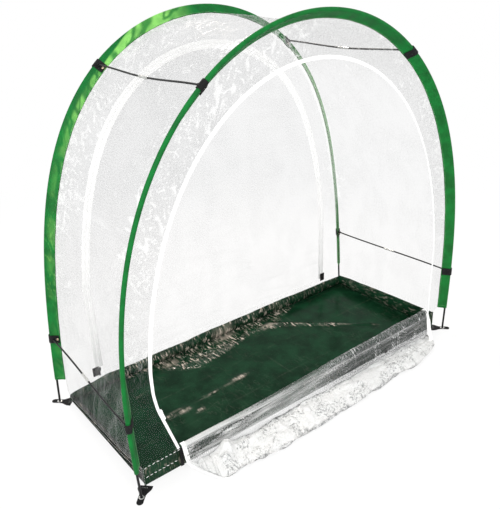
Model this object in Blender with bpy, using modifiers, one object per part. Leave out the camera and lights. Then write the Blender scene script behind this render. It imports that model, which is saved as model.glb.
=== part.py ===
"""Frost protection tent: two hoops in sleeves, a clear film cover with two zipped doors, and a tub floor.

X runs along the tent, Y from the front to the back, Z up. The origin is under the middle of the floor.
"""
import math

import bmesh
import bpy
from mathutils import Matrix, Vector

# Overall sizes, in metres
HOOP_SPAN = 1.500
HOOP_HEIGHT = 1.354
HOOP_SPACING = 0.628
BACK_DRAW_IN = 0.041
TOUCH = 0.0003
CUT_PAST = 0.002

# Hoop rods: glass fibre, each section with a ferrule glued on its end
HOOP_ROD_RADIUS = 0.0040
HOOP_SECTIONS = 4
HOOP_RUN = 0.076
FERRULE_LENGTH = 0.050
FERRULE_WALL = 0.0010
FERRULE_SHOULDER = 0.0005
FIXTURE_SPARE = 0.004
CORNER_SPARE = 0.010
FOOT_LIFT = 0.0006

# Spacer rods between the hoops
SPACER_ROD_RADIUS = 0.0030
SPACER_FERRULE_LENGTH = 0.055
SPACER_FERRULE_WALL = 0.0009
SPACER_PLAY = 0.0005
TOP_SPACER_SAG = 0.010
TOP_CLIP_ARC = 0.460
LOW_CLIP_ARC = 0.275

# Green sleeves: a fold of fabric with the rod in its outer edge
SLEEVE_WIDTH = 0.046
SLEEVE_PLAY = 0.0009
SLEEVE_CLOTH = 0.0010
SLEEVE_SEAM = 0.0024
SLEEVE_END_HEIGHT = 0.095

# Webbing clips and rivets
CLIP_WIDTH = 0.025
CLIP_WEBBING = 0.0016
CLIP_LEG = 0.038
POCKET_WALL = 0.0014
POCKET_DEPTH = 0.008
POCKET_ROOT = 0.004
RIVET_PLACE = 0.027
RIVET_SHANK = 0.0020
RIVET_HEAD = 0.0048
RIVET_DOME = 0.0018

# Clear film and zips
FILM = 0.0010
ROOF_SAG = 0.012
TAPE_WIDTH = 0.0120
TAPE_THICK = 0.0012
TEETH_GAP = 0.0014

# Front door opening, with its borders measured in from the hoop and its feet from the tub's ends
FRONT_SIDE_BORDER = 0.095
FRONT_TOP_BORDER = 0.142
FRONT_DOOR_SHIFT = 0.015
FRONT_SPRING = 0.400
FRONT_LEFT_FOOT_IN = 0.136
FRONT_RIGHT_FOOT_IN = 0.041
FRONT_KNEE = 0.290
FRONT_KNEE_BEND = 0.030

# Back door opening
BACK_SIDE_BORDER = 0.132
BACK_TOP_BORDER = 0.129
BACK_SPRING = 0.450
BACK_FOOT_IN = 0.130

# Zip sliders and pulls
SLIDER_WIDTH = 0.011
SLIDER_LENGTH = 0.016
SLIDER_PLATE = 0.0017
SLIDER_CHANNEL = 0.0026
SLIDER_WIRE = 0.0008
SLIDER_SPARE = 0.002
BAIL_HALF = 0.0035
BAIL_SUNK = 0.0006
BAIL_BEND = 0.0011
BAIL_PLAY = 0.0005
PULL_WIDTH = 0.007
PULL_LENGTH = 0.032
PULL_THICK = 0.0012
PULL_EYE = 0.0065
PULL_EYE_WIDTH = 0.0032
FRONT_SLIDER_DROP = 0.006
BACK_SLIDER_REST = 0.009

# Front door film, heaped in front of the tub
HEAP_LEFT_IN = 0.012
HEAP_RIGHT_IN = 0.004
HEAP_DEPTH = 0.185
HEAP_LEFT_ROUND = 0.080
HEAP_RIGHT_ROUND = 0.210
HEAP_FOLD = 0.034
HEAP_FILM = 0.0014
HEAP_OVER_WALL = 0.006
HEAP_RISE = 0.001
HEAP_SLANT = 0.012
HEAP_RIPPLE = 0.004

# Tub groundsheet
TUB_WALL = 0.080
TUB_SHEET = 0.0012

# Corner straps and grommets
STRAP_WIDTH = 0.022
STRAP_THICK = 0.0020
STRAP_PAST_FOOT = 0.030
GROMMET_WALL = 0.0014
GROMMET_FLANGE = 0.0036
GROMMET_PLATE = 0.0007

# Worked out from the sizes above
HALF_SPAN = HOOP_SPAN / 2
HALF_SPACING = HOOP_SPACING / 2
FERRULE_BORE = HOOP_ROD_RADIUS + TOUCH
FERRULE_RADIUS = FERRULE_BORE + FERRULE_WALL
SPACER_BORE = SPACER_ROD_RADIUS + SPACER_PLAY
SPACER_FERRULE_RADIUS = SPACER_BORE + SPACER_FERRULE_WALL
SLEEVE_HOLE = FERRULE_RADIUS + SLEEVE_PLAY
SLEEVE_RADIUS = SLEEVE_HOLE + SLEEVE_CLOTH
DIAGONAL = math.sqrt(0.5)
SEAM_IN = SLEEVE_WIDTH * DIAGONAL
SEAM_HALF = SLEEVE_SEAM / 2 * DIAGONAL
FILM_EDGE = SEAM_IN + SEAM_HALF + TOUCH
FILM_PLANE = SEAM_IN - SEAM_HALF + FILM / 2
PANEL_Y = HALF_SPACING - FILM_PLANE
TUB_X = HALF_SPAN - SEAM_IN + TUB_SHEET / 2
TUB_Y = PANEL_Y + TUB_SHEET / 2
FILM_BASE = TUB_WALL + TOUCH
HINGE_Z = FILM_BASE + FILM / 2
TAPE_IN = TEETH_GAP / 2
TAPE_OUT = TAPE_IN + TAPE_WIDTH
PANEL_EDGE = TAPE_OUT + TOUCH
SLIDER_FACE = SLIDER_CHANNEL / 2 + SLIDER_PLATE
PULL_AXIS_OUT = SLIDER_FACE + TOUCH + PULL_THICK / 2
SLIDER_WEB = TEETH_GAP - 2 * TOUCH
GROMMET_BORE = HOOP_ROD_RADIUS + 2 * TOUCH
GROMMET_BARREL = GROMMET_BORE + GROMMET_WALL
STRAP_BASE = GROMMET_PLATE + TOUCH
GROMMET_TOP = STRAP_BASE + STRAP_THICK + TOUCH + GROMMET_PLATE

GREEN = (0.012, 0.200, 0.045)
DARK_GREEN = (0.010, 0.045, 0.022)
CLEAR = (0.85, 0.88, 0.88)
BLACK = (0.010, 0.010, 0.011)
WHITE = (0.82, 0.83, 0.82)
STEEL = (0.62, 0.62, 0.60)
BRASS = (0.50, 0.43, 0.30)


def clear_scene():
    for obj in list(bpy.data.objects):
        bpy.data.objects.remove(obj, do_unlink=True)


def new_collection(name):
    collection = bpy.data.collections.new(name)
    bpy.context.scene.collection.children.link(collection)
    return collection


def finish(obj, colour, roughness, metallic=0.0, alpha=1.0):
    """Give a piece its own material and put it in the tent's collection."""
    material = bpy.data.materials.new(obj.name + "_finish")
    material.use_nodes = True
    shader = material.node_tree.nodes["Principled BSDF"]
    shader.inputs["Base Color"].default_value = (*colour, 1.0)
    shader.inputs["Roughness"].default_value = roughness
    shader.inputs["Metallic"].default_value = metallic
    shader.inputs["Alpha"].default_value = alpha
    obj.data.materials.clear()
    obj.data.materials.append(material)
    for collection in list(obj.users_collection):
        collection.objects.unlink(obj)
    TENT.objects.link(obj)
    return obj


def curve_object(name, splines, dimensions="3D"):
    """A curve of straight runs through the points of each spline; closed where it is flat."""
    data = bpy.data.curves.new(name, "CURVE")
    data.dimensions = dimensions
    for points in splines:
        spline = data.splines.new("POLY")
        spline.points.add(len(points) - 1)
        for point, place in zip(spline.points, points):
            point.co = (*place[:3], 1.0) if dimensions == "3D" else (place[0], place[1], 0.0, 1.0)
            if dimensions == "3D" and len(place) == 4:
                point.radius = place[3]
        spline.use_cyclic_u = dimensions == "2D"
    obj = bpy.data.objects.new(name, data)
    bpy.context.scene.collection.objects.link(obj)
    return obj


def rod(name, points, radius):
    """A round rod along the points, each with a share of the radius where it has a fourth number."""
    obj = curve_object(name, [points])
    obj.data.bevel_depth = radius
    obj.data.bevel_resolution = 2
    obj.data.use_fill_caps = True
    return obj


def flat_piece(name, splines, thickness):
    """A sheet cut to an outline in its own XY plane, with holes where there is more than one spline."""
    obj = curve_object(name, splines, "2D")
    obj.data.fill_mode = "BOTH"
    obj.data.extrude = thickness / 2
    return obj


def stand_up(obj, y, z=0.0):
    """Turn a sheet drawn in XY to stand in the XZ plane."""
    obj.location = (0, y, z)
    obj.rotation_euler = (math.pi / 2, 0, 0)
    return obj


def baked(obj):
    """The object as one plain welded mesh, with its modifiers used up."""
    graph = bpy.context.evaluated_depsgraph_get()
    mesh = bpy.data.meshes.new_from_object(obj.evaluated_get(graph))
    shape = bmesh.new()
    shape.from_mesh(mesh)
    bmesh.ops.remove_doubles(shape, verts=shape.verts, dist=0.00001)
    bmesh.ops.recalc_face_normals(shape, faces=shape.faces)
    shape.to_mesh(mesh)
    shape.free()
    made = bpy.data.objects.new(obj.name, mesh)
    bpy.context.scene.collection.objects.link(made)
    made.matrix_world = obj.matrix_world.copy()
    name = obj.name
    bpy.data.objects.remove(obj)
    made.name = name
    return made


def combine(obj, tool, operation):
    """Join the tool to the object or cut it out, and keep the tool as a hidden cutter."""
    bpy.context.view_layer.update()
    for collection in list(tool.users_collection):
        collection.objects.unlink(tool)
    CUTTERS.objects.link(tool)
    tool.hide_render = True
    tool.display_type = "WIRE"
    modifier = obj.modifiers.new(operation.lower(), "BOOLEAN")
    modifier.operation = operation
    modifier.solver = "EXACT"
    modifier.object = tool
    bpy.context.view_layer.update()


def cylinder(name, start, end, radius, sides=16):
    """A plain round cylinder between two points."""
    start, end = Vector(start), Vector(end)
    mesh = bpy.data.meshes.new(name)
    shape = bmesh.new()
    bmesh.ops.create_cone(shape, cap_ends=True, segments=sides, radius1=radius, radius2=radius,
                          depth=(end - start).length)
    shape.to_mesh(mesh)
    shape.free()
    obj = bpy.data.objects.new(name, mesh)
    bpy.context.scene.collection.objects.link(obj)
    obj.location = (start + end) / 2
    obj.rotation_euler = (end - start).to_track_quat("Z", "Y").to_euler()
    return obj


def box(name, low, high):
    """A plain box between two corners."""
    mesh = bpy.data.meshes.new(name)
    shape = bmesh.new()
    bmesh.ops.create_cube(shape, size=1.0)
    bmesh.ops.scale(shape, verts=shape.verts, vec=[b - a for a, b in zip(low, high)])
    bmesh.ops.translate(shape, verts=shape.verts, vec=[(a + b) / 2 for a, b in zip(low, high)])
    shape.to_mesh(mesh)
    shape.free()
    obj = bpy.data.objects.new(name, mesh)
    bpy.context.scene.collection.objects.link(obj)
    return obj


def turned(name, profile, steps=14):
    """A ring or knob turned about Z from a closed or axis-to-axis profile of (radius, height) points."""
    on_axis = profile[0][0] == 0
    mesh = bpy.data.meshes.new(name)
    edges = [(i, i + 1) for i in range(len(profile) - 1)]
    if not on_axis:
        edges.append((len(profile) - 1, 0))
    mesh.from_pydata([(radius, 0, height) for radius, height in profile], edges, [])
    obj = bpy.data.objects.new(name, mesh)
    bpy.context.scene.collection.objects.link(obj)
    screw = obj.modifiers.new("turn", "SCREW")
    screw.steps = steps
    screw.render_steps = steps
    screw.use_merge_vertices = True
    screw.merge_threshold = 0.00001
    return baked(obj)


def loft(name, rings, closed):
    """A skin over equal rings of points; closed rings make a tube, open ones a sheet."""
    shape = bmesh.new()
    rows = [[shape.verts.new(point) for point in ring] for ring in rings]
    count = len(rows[0])
    for one, two in zip(rows, rows[1:]):
        for i in range(count if closed else count - 1):
            j = (i + 1) % count
            shape.faces.new((one[i], one[j], two[j], two[i]))
    mesh = bpy.data.meshes.new(name)
    shape.to_mesh(mesh)
    shape.free()
    obj = bpy.data.objects.new(name, mesh)
    bpy.context.scene.collection.objects.link(obj)
    return obj


def mix(a, b, share):
    return a + (b - a) * share


def run_down(start, step=0.004):
    """A bent rod from its top, with its bend equal to its height over the feet: (arc, across, height)."""
    arc, across, height, angle = 0.0, 0.0, start, 0.0
    places = [(arc, across, height)]
    while height > 0:
        half_way = angle + height * step / 2
        fall = math.sin(half_way) * step
        share = min(1.0, height / fall) if fall > 0 else 1.0
        arc += step * share
        across += math.cos(half_way) * step * share
        angle += (height - fall / 2) * step
        height = height - fall * share if share == 1.0 else 0.0
        places.append((arc, across, height))
    return places


def bent_rod():
    """Half of a straight rod bent between its two feet to the hoop's span and height."""
    low, high = 0.2, 1.95
    for _ in range(40):
        start = (low + high) / 2
        places = run_down(start)
        if start / places[-1][1] < HOOP_HEIGHT / HALF_SPAN:
            low = start
        else:
            high = start
    wide, tall = HALF_SPAN / places[-1][1], HOOP_HEIGHT / start
    return [(arc * wide, across * wide, height * tall) for arc, across, height in places]


HALF_HOOP = bent_rod()
HALF_ARC = HALF_HOOP[-1][0]
FOOT_ARC = HALF_ARC - FOOT_LIFT


def arc_at_height(height):
    return next(arc for arc, _, level in HALF_HOOP if level <= height)


def smooth_hoop(arc, back):
    """The (x, z) place at an arc from the hoop's top; the back hoop is drawn in half way up."""
    away = min(abs(arc), HALF_ARC)
    later = next(i for i in range(1, len(HALF_HOOP)) if HALF_HOOP[i][0] >= away - 1e-9)
    one, two = HALF_HOOP[later - 1], HALF_HOOP[later]
    share = (away - one[0]) / (two[0] - one[0])
    x, z = mix(one[1], two[1], share), mix(one[2], two[2], share)
    if back:
        x *= 1 - BACK_DRAW_IN / HALF_SPAN * math.sin(math.pi * z / HOOP_HEIGHT)
    return Vector((math.copysign(x, arc), z))


SECTION_ARC = 2 * HALF_ARC / HOOP_SECTIONS
JOINT_ARCS = [-HALF_ARC + SECTION_ARC * (i + 1) for i in range(HOOP_SECTIONS - 1)]
SLEEVE_END_ARC = arc_at_height(SLEEVE_END_HEIGHT)
CLIP_ARCS = {"top": TOP_CLIP_ARC, "low": HALF_ARC - LOW_CLIP_ARC}


def hoop_stations():
    """Arcs of the hoop's corners: even runs, and a straight run at each ferrule and clip."""
    count = math.ceil(2 * HALF_ARC / HOOP_RUN)
    arcs = [-HALF_ARC + 2 * HALF_ARC * i / count for i in range(count + 1)]
    straight = [(arc, FERRULE_LENGTH / 2 + FIXTURE_SPARE) for arc in JOINT_ARCS]
    for arc in CLIP_ARCS.values():
        straight += [(side * arc, CLIP_WIDTH / 2 + FIXTURE_SPARE) for side in (-1, 1)]
    for centre, half in straight:
        arcs = [arc for arc in arcs if abs(arc - centre) > half + CORNER_SPARE]
        arcs += [centre - half, centre + half]
    return sorted(arcs)


STATIONS = hoop_stations()
CORNERS = {back: [smooth_hoop(arc, back) for arc in STATIONS] for back in (False, True)}


def hoop_point(arc, back):
    """A place on the hoop's straight runs."""
    later = next(i for i in range(1, len(STATIONS)) if STATIONS[i] >= arc - 1e-9)
    share = (arc - STATIONS[later - 1]) / (STATIONS[later] - STATIONS[later - 1])
    return CORNERS[back][later - 1].lerp(CORNERS[back][later], share)


def hoop_path(start, end, back):
    """The hoop's corners from one arc to another, with both ends."""
    between = [arc for arc in STATIONS if start + 0.001 < arc < end - 0.001]
    return [hoop_point(arc, back) for arc in [start, *between, end]]


def outward(points):
    """For each point of a path, the way out on its left, long enough to keep its runs parallel."""
    lefts = []
    for one, two in zip(points, points[1:]):
        along = (two - one).normalized()
        lefts.append(Vector((-along.y, along.x)))
    ways = [lefts[0]]
    for one, two in zip(lefts, lefts[1:]):
        middle = (one + two).normalized()
        ways.append(middle / middle.dot(one))
    return [*ways, lefts[-1]]


def beside(points, distance):
    return [point + way * distance for point, way in zip(points, outward(points))]


def ends_at(points, first, last):
    """Lengthen or shorten a path's end runs to the given heights."""
    points = list(points)
    for end, near, height in ((0, 1, first), (-1, -2, last)):
        run = points[end] - points[near]
        points[end] = points[near] + run * ((height - points[near].y) / run.y)
    return points


def hoop_sides():
    """Each hoop's name, its Y, the way to the tent's middle, and whether it is the back one."""
    return (("front", -HALF_SPACING, 1, False), ("back", HALF_SPACING, -1, True))


def hoop_rods():
    """Four sections a hoop; a ferrule on the end of each but the last takes the next one."""
    ends = [-FOOT_ARC, *JOINT_ARCS, FOOT_ARC]
    for side, y, _, back in hoop_sides():
        for i in range(HOOP_SECTIONS):
            first, last = i == 0, i == HOOP_SECTIONS - 1
            start = ends[i] if first else ends[i] + TOUCH / 2
            stop = ends[i + 1]
            name = f"{side}_hoop_rod_{i + 1}"
            if last:
                path = hoop_path(start, stop, back)
                obj = rod(name, [(p.x, y, p.y) for p in path], HOOP_ROD_RADIUS)
            else:
                obj = rod_with_ferrule(name, start, stop, y, back)
            finish(obj, BLACK, 0.35)


def rod_with_ferrule(name, start, joint, y, back):
    half = FERRULE_LENGTH / 2
    swell = FERRULE_RADIUS / HOOP_ROD_RADIUS
    path = [(p.x, y, p.y, 1.0) for p in hoop_path(start, joint - half, back)]
    for arc in (joint - half + FERRULE_SHOULDER, joint + half):
        place = hoop_point(arc, back)
        path.append((place.x, y, place.y, swell))
    obj = baked(rod(name, path, HOOP_ROD_RADIUS))
    bottom = hoop_point(joint - TOUCH / 2, back)
    mouth = hoop_point(joint + half + CUT_PAST, back)
    bore = cylinder(name + "_bore", (bottom.x, y, bottom.y), (mouth.x, y, mouth.y), FERRULE_BORE)
    combine(obj, bore, "DIFFERENCE")
    return obj


def sleeve_profile(spare):
    """The sleeve's outline round its rod, as (towards the seam, across the fold), grown by some spare."""
    radius = SLEEVE_RADIUS + spare
    round_edge = [math.radians(90 + 36 * i) for i in range(6)]
    outline = [(radius * math.cos(angle), radius * math.sin(angle)) for angle in round_edge]
    seam = SLEEVE_SEAM / 2 + spare
    return [*outline, (SLEEVE_WIDTH, -seam), (SLEEVE_WIDTH, seam)]


def hole_profile():
    """The rod's channel in the sleeve, with a point for each of the outline's."""
    angles = [math.radians(degrees) for degrees in (90, 126, 162, 198, 234, 270, 330, 30)]
    return [(SLEEVE_HOLE * math.cos(angle), SLEEVE_HOLE * math.sin(angle)) for angle in angles]


def sleeves():
    """A fold of fabric along each hoop, leaning in at 45 degrees to its seam with the films."""
    outline, hole = sleeve_profile(0.0), hole_profile()
    for side, y, inward, back in hoop_sides():
        path = hoop_path(-SLEEVE_END_ARC, SLEEVE_END_ARC, back)
        rings = []
        for place, way in zip(path, outward(path)):
            ring = []
            for toward, across in (*outline, *hole):
                out, middle = (across - toward) * DIAGONAL, (across + toward) * DIAGONAL
                ring.append((place.x + way.x * out, y + inward * middle, place.y + way.y * out))
            rings.append(ring)
        finish(sleeve_solid(f"{side}_sleeve", rings, len(outline)), GREEN, 0.6)


def sleeve_solid(name, rings, count):
    """Outer skin, channel and the two ends between them."""
    shape = bmesh.new()
    rows = [[shape.verts.new(point) for point in ring] for ring in rings]
    for one, two in zip(rows, rows[1:]):
        for start in (0, count):
            for i in range(count):
                j = (i + 1) % count
                shape.faces.new((one[start + i], one[start + j], two[start + j], two[start + i]))
    for row in (rows[0], rows[-1]):
        for i in range(count):
            j = (i + 1) % count
            shape.faces.new((row[i], row[j], row[count + j], row[count + i]))
    bmesh.ops.recalc_face_normals(shape, faces=shape.faces)
    mesh = bpy.data.meshes.new(name)
    shape.to_mesh(mesh)
    shape.free()
    obj = bpy.data.objects.new(name, mesh)
    bpy.context.scene.collection.objects.link(obj)
    return obj


def clip_leg_height(toward, spare):
    """How far the sleeve's face stands off its middle, at a distance towards the seam."""
    edge, seam = SLEEVE_RADIUS + spare, SLEEVE_SEAM / 2 + spare
    return mix(edge, seam, toward / SLEEVE_WIDTH)


def clip_shape():
    """A band folded round the sleeve, with a pocket for the spacer and a hole for the rivet."""
    inner, outer = TOUCH, TOUCH + CLIP_WEBBING
    band = []
    for spare, order in ((outer, 1), (inner, -1)):
        face = clip_leg_height(CLIP_LEG, spare)
        line = [(CLIP_LEG, face), *sleeve_profile(spare)[:6], (CLIP_LEG, -face)]
        band += line[::order]
    obj = baked(flat_piece("clip", [band], CLIP_WIDTH))
    along = Vector((DIAGONAL, DIAGONAL, 0))
    pocket_radius = SPACER_BORE + POCKET_WALL
    pocket = cylinder("clip_pocket", along * POCKET_ROOT, along * POCKET_MOUTH, pocket_radius, 12)
    core = baked(flat_piece("clip_core", [sleeve_profile(TOUCH + CLIP_WEBBING / 2)], CLIP_WIDTH * 2))
    combine(pocket, core, "DIFFERENCE")
    combine(obj, baked(pocket), "UNION")
    bore = cylinder("clip_bore", along * POCKET_FLOOR, along * (POCKET_MOUTH + CUT_PAST), SPACER_BORE, 12)
    combine(obj, bore, "DIFFERENCE")
    foot, way = rivet_seat()
    depth = CLIP_WEBBING + CUT_PAST / 2
    hole = cylinder("clip_rivet_hole", foot - way * depth, foot + way * CUT_PAST, RIVET_SHANK + TOUCH, 12)
    combine(obj, hole, "DIFFERENCE")
    return baked(obj).data


def rivet_seat():
    """The rivet's foot on the clip's outer face, and the way that it stands."""
    spare = TOUCH + CLIP_WEBBING
    fall = (SLEEVE_SEAM / 2 - SLEEVE_RADIUS) / SLEEVE_WIDTH
    way = Vector((-fall, 1, 0)).normalized()
    return Vector((RIVET_PLACE, clip_leg_height(RIVET_PLACE, spare), 0)), way


def pocket_floor():
    """How far from the hoop the spacer's pocket may begin and stay clear of the webbing's face."""
    slope = (SLEEVE_RADIUS - SLEEVE_SEAM / 2) / SLEEVE_WIDTH
    face = SLEEVE_RADIUS + TOUCH + CLIP_WEBBING
    return (face / DIAGONAL + SPACER_BORE * (1 - slope)) / (1 + slope)


POCKET_FLOOR = pocket_floor()
POCKET_MOUTH = POCKET_FLOOR + POCKET_DEPTH


def rivet_shape():
    """A domed cap with a shank through the webbing; its zero is the webbing's outer face."""
    rim = TOUCH
    dome = [(0, RIVET_DOME), (RIVET_HEAD * 0.6, RIVET_DOME * 0.8), (RIVET_HEAD, RIVET_DOME * 0.3)]
    shank = [(RIVET_HEAD, rim), (RIVET_SHANK, rim), (RIVET_SHANK, -CLIP_WEBBING), (0, -CLIP_WEBBING)]
    profile = [*[(radius, rim + height) for radius, height in dome], *shank]
    return turned("rivet", profile, 12).data


def clip_frame(arc, y, inward, back):
    """Place and turn of a clip: its X points to the seam, its Y out over the roof film."""
    place = hoop_point(arc, back)
    ahead = hoop_point(arc + 0.001, back) - hoop_point(arc - 0.001, back)
    out = Vector((-ahead.y, 0, ahead.x)).normalized()
    middle = Vector((0, inward, 0))
    toward = (middle - out).normalized()
    across = (middle + out).normalized()
    turn = Matrix((toward, across, toward.cross(across))).transposed().to_4x4()
    return Matrix.Translation((place.x, y, place.y)) @ turn


def clips():
    """Eight clips and rivets, on straight runs of the hoops."""
    clip_mesh, rivet_mesh = clip_shape(), rivet_shape()
    foot, way = rivet_seat()
    seat = Matrix.Translation(foot) @ way.to_track_quat("Z", "Y").to_matrix().to_4x4()
    for side, y, inward, back in hoop_sides():
        for level, arc in CLIP_ARCS.items():
            for end, sign in (("left", -1), ("right", 1)):
                frame = clip_frame(sign * arc, y, inward, back)
                name = f"{side}_{level}_{end}"
                clip = bpy.data.objects.new(f"clip_{name}", clip_mesh.copy())
                rivet = bpy.data.objects.new(f"rivet_{name}", rivet_mesh.copy())
                for obj, place in ((clip, frame), (rivet, frame @ seat)):
                    obj.location = place.to_translation()
                    obj.rotation_euler = place.to_euler()
                finish(clip, BLACK, 0.7)
                finish(rivet, BRASS, 0.35, 1.0)
    for name in ("clip", "rivet"):
        bpy.data.objects.remove(bpy.data.objects[name])


def spacer_point(level, sign, share):
    """A place on a spacer's line between the hoops, which leaves each pocket straight."""
    front = hoop_point(sign * CLIP_ARCS[level], False)
    back = hoop_point(sign * CLIP_ARCS[level], True)
    ease = (1 - math.cos(math.pi * share)) / 2
    place = front.lerp(back, ease)
    sag = TOP_SPACER_SAG if level == "top" else 0.0
    drop = sag * (1 - math.cos(2 * math.pi * share)) / 2
    return Vector((place.x, mix(-HALF_SPACING, HALF_SPACING, share), place.y - drop))


def spacers():
    """Two rods and the ferrule that joins them, high and low at each end."""
    pocket_end = (POCKET_FLOOR + TOUCH) / HOOP_SPACING
    ferrule_end = SPACER_FERRULE_LENGTH / 2 / HOOP_SPACING
    steps = 6
    for level in CLIP_ARCS:
        for end, sign in (("left", -1), ("right", 1)):
            halves = (("front", pocket_end, 0.5 - ferrule_end), ("back", 1 - pocket_end, 0.5 + ferrule_end))
            for half, start, stop in halves:
                shares = [mix(start, stop, i / steps) for i in range(steps + 1)]
                points = [spacer_point(level, sign, share) for share in shares]
                inside = 0.5 + math.copysign(TOUCH / 2 / HOOP_SPACING, stop - 0.5)
                points.append(spacer_point(level, sign, inside))
                name = f"spacer_rod_{level}_{end}_{half}"
                finish(rod(name, [tuple(p) for p in points], SPACER_ROD_RADIUS), BLACK, 0.35)
            one = spacer_point(level, sign, 0.5 - ferrule_end)
            two = spacer_point(level, sign, 0.5 + ferrule_end)
            name = f"spacer_ferrule_{level}_{end}"
            obj = ring(name, SPACER_BORE, SPACER_FERRULE_RADIUS, SPACER_FERRULE_LENGTH)
            obj.location = (one + two) / 2
            obj.rotation_euler = (two - one).to_track_quat("Z", "Y").to_euler()
            finish(obj, STEEL, 0.25, 1.0)


def ring(name, bore, radius, length):
    half = length / 2
    return turned(name, [(bore, half), (radius, half), (radius, -half), (bore, -half)], 12)


def roof_film():
    """One sheet from the tub's left end over both hoops to its right end, sagging between them."""
    edges = []
    for side, y, inward, back in hoop_sides():
        path = hoop_path(-SLEEVE_END_ARC, SLEEVE_END_ARC, back)
        edge = [Vector((p.x, y + inward * FILM_EDGE, p.y)) for p in beside(path, -FILM_PLANE)]
        foot = [Vector((sign * (TUB_X - TUB_SHEET / 2), edge[0].y, FILM_BASE)) for sign in (-1, 1)]
        edges.append([foot[0], *edge, foot[1]])
    rings = []
    for front, back in zip(*edges):
        hang = ROOF_SAG * min(1.0, max(0.0, (front.z - FILM_BASE) / HOOP_HEIGHT))
        ring_points = []
        for i in range(5):
            share = i / 4
            point = front.lerp(back, share)
            point.z -= hang * math.sin(math.pi * share)
            ring_points.append(point)
        rings.append(ring_points)
    obj = loft("roof_film", rings, False)
    skin = obj.modifiers.new("film", "SOLIDIFY")
    skin.thickness = FILM
    skin.offset = 0
    return finish(obj, CLEAR, 0.15, alpha=0.3)


def inside_hoop(back, spring, side_border, top_border, steps=26):
    """A path inside the hoop, from the spring height on its left to that on its right."""
    reach = arc_at_height(spring)
    places = [smooth_hoop(-reach + 2 * reach * i / steps, back) for i in range(steps + 1)]
    path = []
    for place, way in zip(places, outward(places)):
        share = max(0.0, place.y - spring) / (HOOP_HEIGHT - spring)
        path.append(place - way * mix(side_border, top_border, share))
    return path


def front_zip_path():
    """The front zip's middle line; its left end runs in to the tub in a straight slant."""
    path = inside_hoop(False, FRONT_SPRING, FRONT_SIDE_BORDER, FRONT_TOP_BORDER)
    path = [place + Vector((FRONT_DOOR_SHIFT, 0)) for place in path]
    foot = Vector((FRONT_LEFT_FOOT_IN - TUB_X, FILM_BASE))
    knee = Vector((path[0].x, FRONT_KNEE))
    bend = [knee + (foot - knee).normalized() * FRONT_KNEE_BEND, knee + Vector((0, FRONT_KNEE_BEND))]
    return [foot, *bend, *path, Vector((TUB_X - FRONT_RIGHT_FOOT_IN, FILM_BASE))]


def back_zip_path():
    path = inside_hoop(True, BACK_SPRING, BACK_SIDE_BORDER, BACK_TOP_BORDER)
    foot = TUB_X - BACK_FOOT_IN
    return [Vector((-foot, FILM_BASE)), *path, Vector((foot, FILM_BASE))]


def outline_points(*paths):
    """The paths joined end to end as one list of (x, y) numbers."""
    return [tuple(point) for path in paths for point in path]


def panel(side, zip_path):
    """The film between a hoop's sleeve and its zip."""
    _, y, inward, back = hoop_sides()[side == "back"]
    hoop = hoop_path(-SLEEVE_END_ARC, SLEEVE_END_ARC, back)
    corner = TUB_X - TUB_SHEET / 2
    outer = [Vector((-corner, FILM_BASE)), *beside(hoop, -FILM_EDGE), Vector((corner, FILM_BASE))]
    inner = ends_at(beside(zip_path, PANEL_EDGE), FILM_BASE, FILM_BASE)
    obj = flat_piece(f"{side}_panel", [outline_points(outer, inner[::-1])], FILM)
    finish(stand_up(obj, y + inward * FILM_PLANE), CLEAR, 0.15, alpha=0.3)


def strip(zip_path, near, far, first, last):
    """The outline of a zip's tape between two distances from the zip's middle."""
    one = ends_at(beside(zip_path, near), first, last)
    two = ends_at(beside(zip_path, far), first, last)
    return outline_points(one, two[::-1])


def zips_and_doors():
    """The panels' tapes, and the shut back door with its own tape, which turns about its bottom edge."""
    front, back = front_zip_path(), back_zip_path()
    for side, path, y in (("front", front, -PANEL_Y), ("back", back, PANEL_Y)):
        outline = strip(path, TAPE_IN, TAPE_OUT, FILM_BASE, FILM_BASE)
        finish(stand_up(flat_piece(f"{side}_zip_tape", [outline], TAPE_THICK), y), WHITE, 0.6)
        panel(side, path)
    parked_top = FILM_BASE + BACK_SLIDER_REST + SLIDER_LENGTH / 2 + SLIDER_SPARE
    tape_outline = strip(back, -TAPE_IN, -TAPE_OUT, parked_top, FILM_BASE)
    film_outline = outline_points(ends_at(beside(back, -PANEL_EDGE), FILM_BASE, FILM_BASE))
    pieces = {
        "back_door_tape": (tape_outline, TAPE_THICK, WHITE, 0.6, 1.0),
        "back_door": (film_outline, FILM, CLEAR, 0.15, 0.3),
    }
    for name, (outline, thickness, colour, roughness, alpha) in pieces.items():
        lowered = [(x, z - HINGE_Z) for x, z in outline]
        obj = stand_up(flat_piece(name, [lowered], thickness), PANEL_Y, HINGE_Z)
        finish(obj, colour, roughness, alpha=alpha)


def slider_shape():
    """Two plates joined by a thin web between the tapes, with a wire bail for the pull; Y faces out."""
    half, web, long = SLIDER_WIDTH / 2, SLIDER_WEB / 2, SLIDER_LENGTH / 2
    face, slot, spare = SLIDER_FACE, SLIDER_CHANNEL / 2, CUT_PAST
    obj = box("slider", (-half, -face, -long), (half, face, long))
    for name, low, high in (("left", -half - spare, -web), ("right", web, half + spare)):
        channel = box("slider_channel_" + name, (low, -slot, -long - spare), (high, slot, long + spare))
        combine(obj, channel, "DIFFERENCE")
    obj = baked(obj)
    crown = PULL_AXIS_OUT + PULL_THICK + BAIL_PLAY + SLIDER_WIRE
    root, shoulder, bend = face - BAIL_SUNK, crown - BAIL_BEND, BAIL_HALF - BAIL_BEND
    bail = [(0, root, -BAIL_HALF), (0, shoulder, -BAIL_HALF), (0, crown, -bend),
            (0, crown, bend), (0, shoulder, BAIL_HALF), (0, root, BAIL_HALF)]
    combine(obj, baked(rod("slider_bail", bail, SLIDER_WIRE)), "UNION")
    return baked(obj).data


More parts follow.
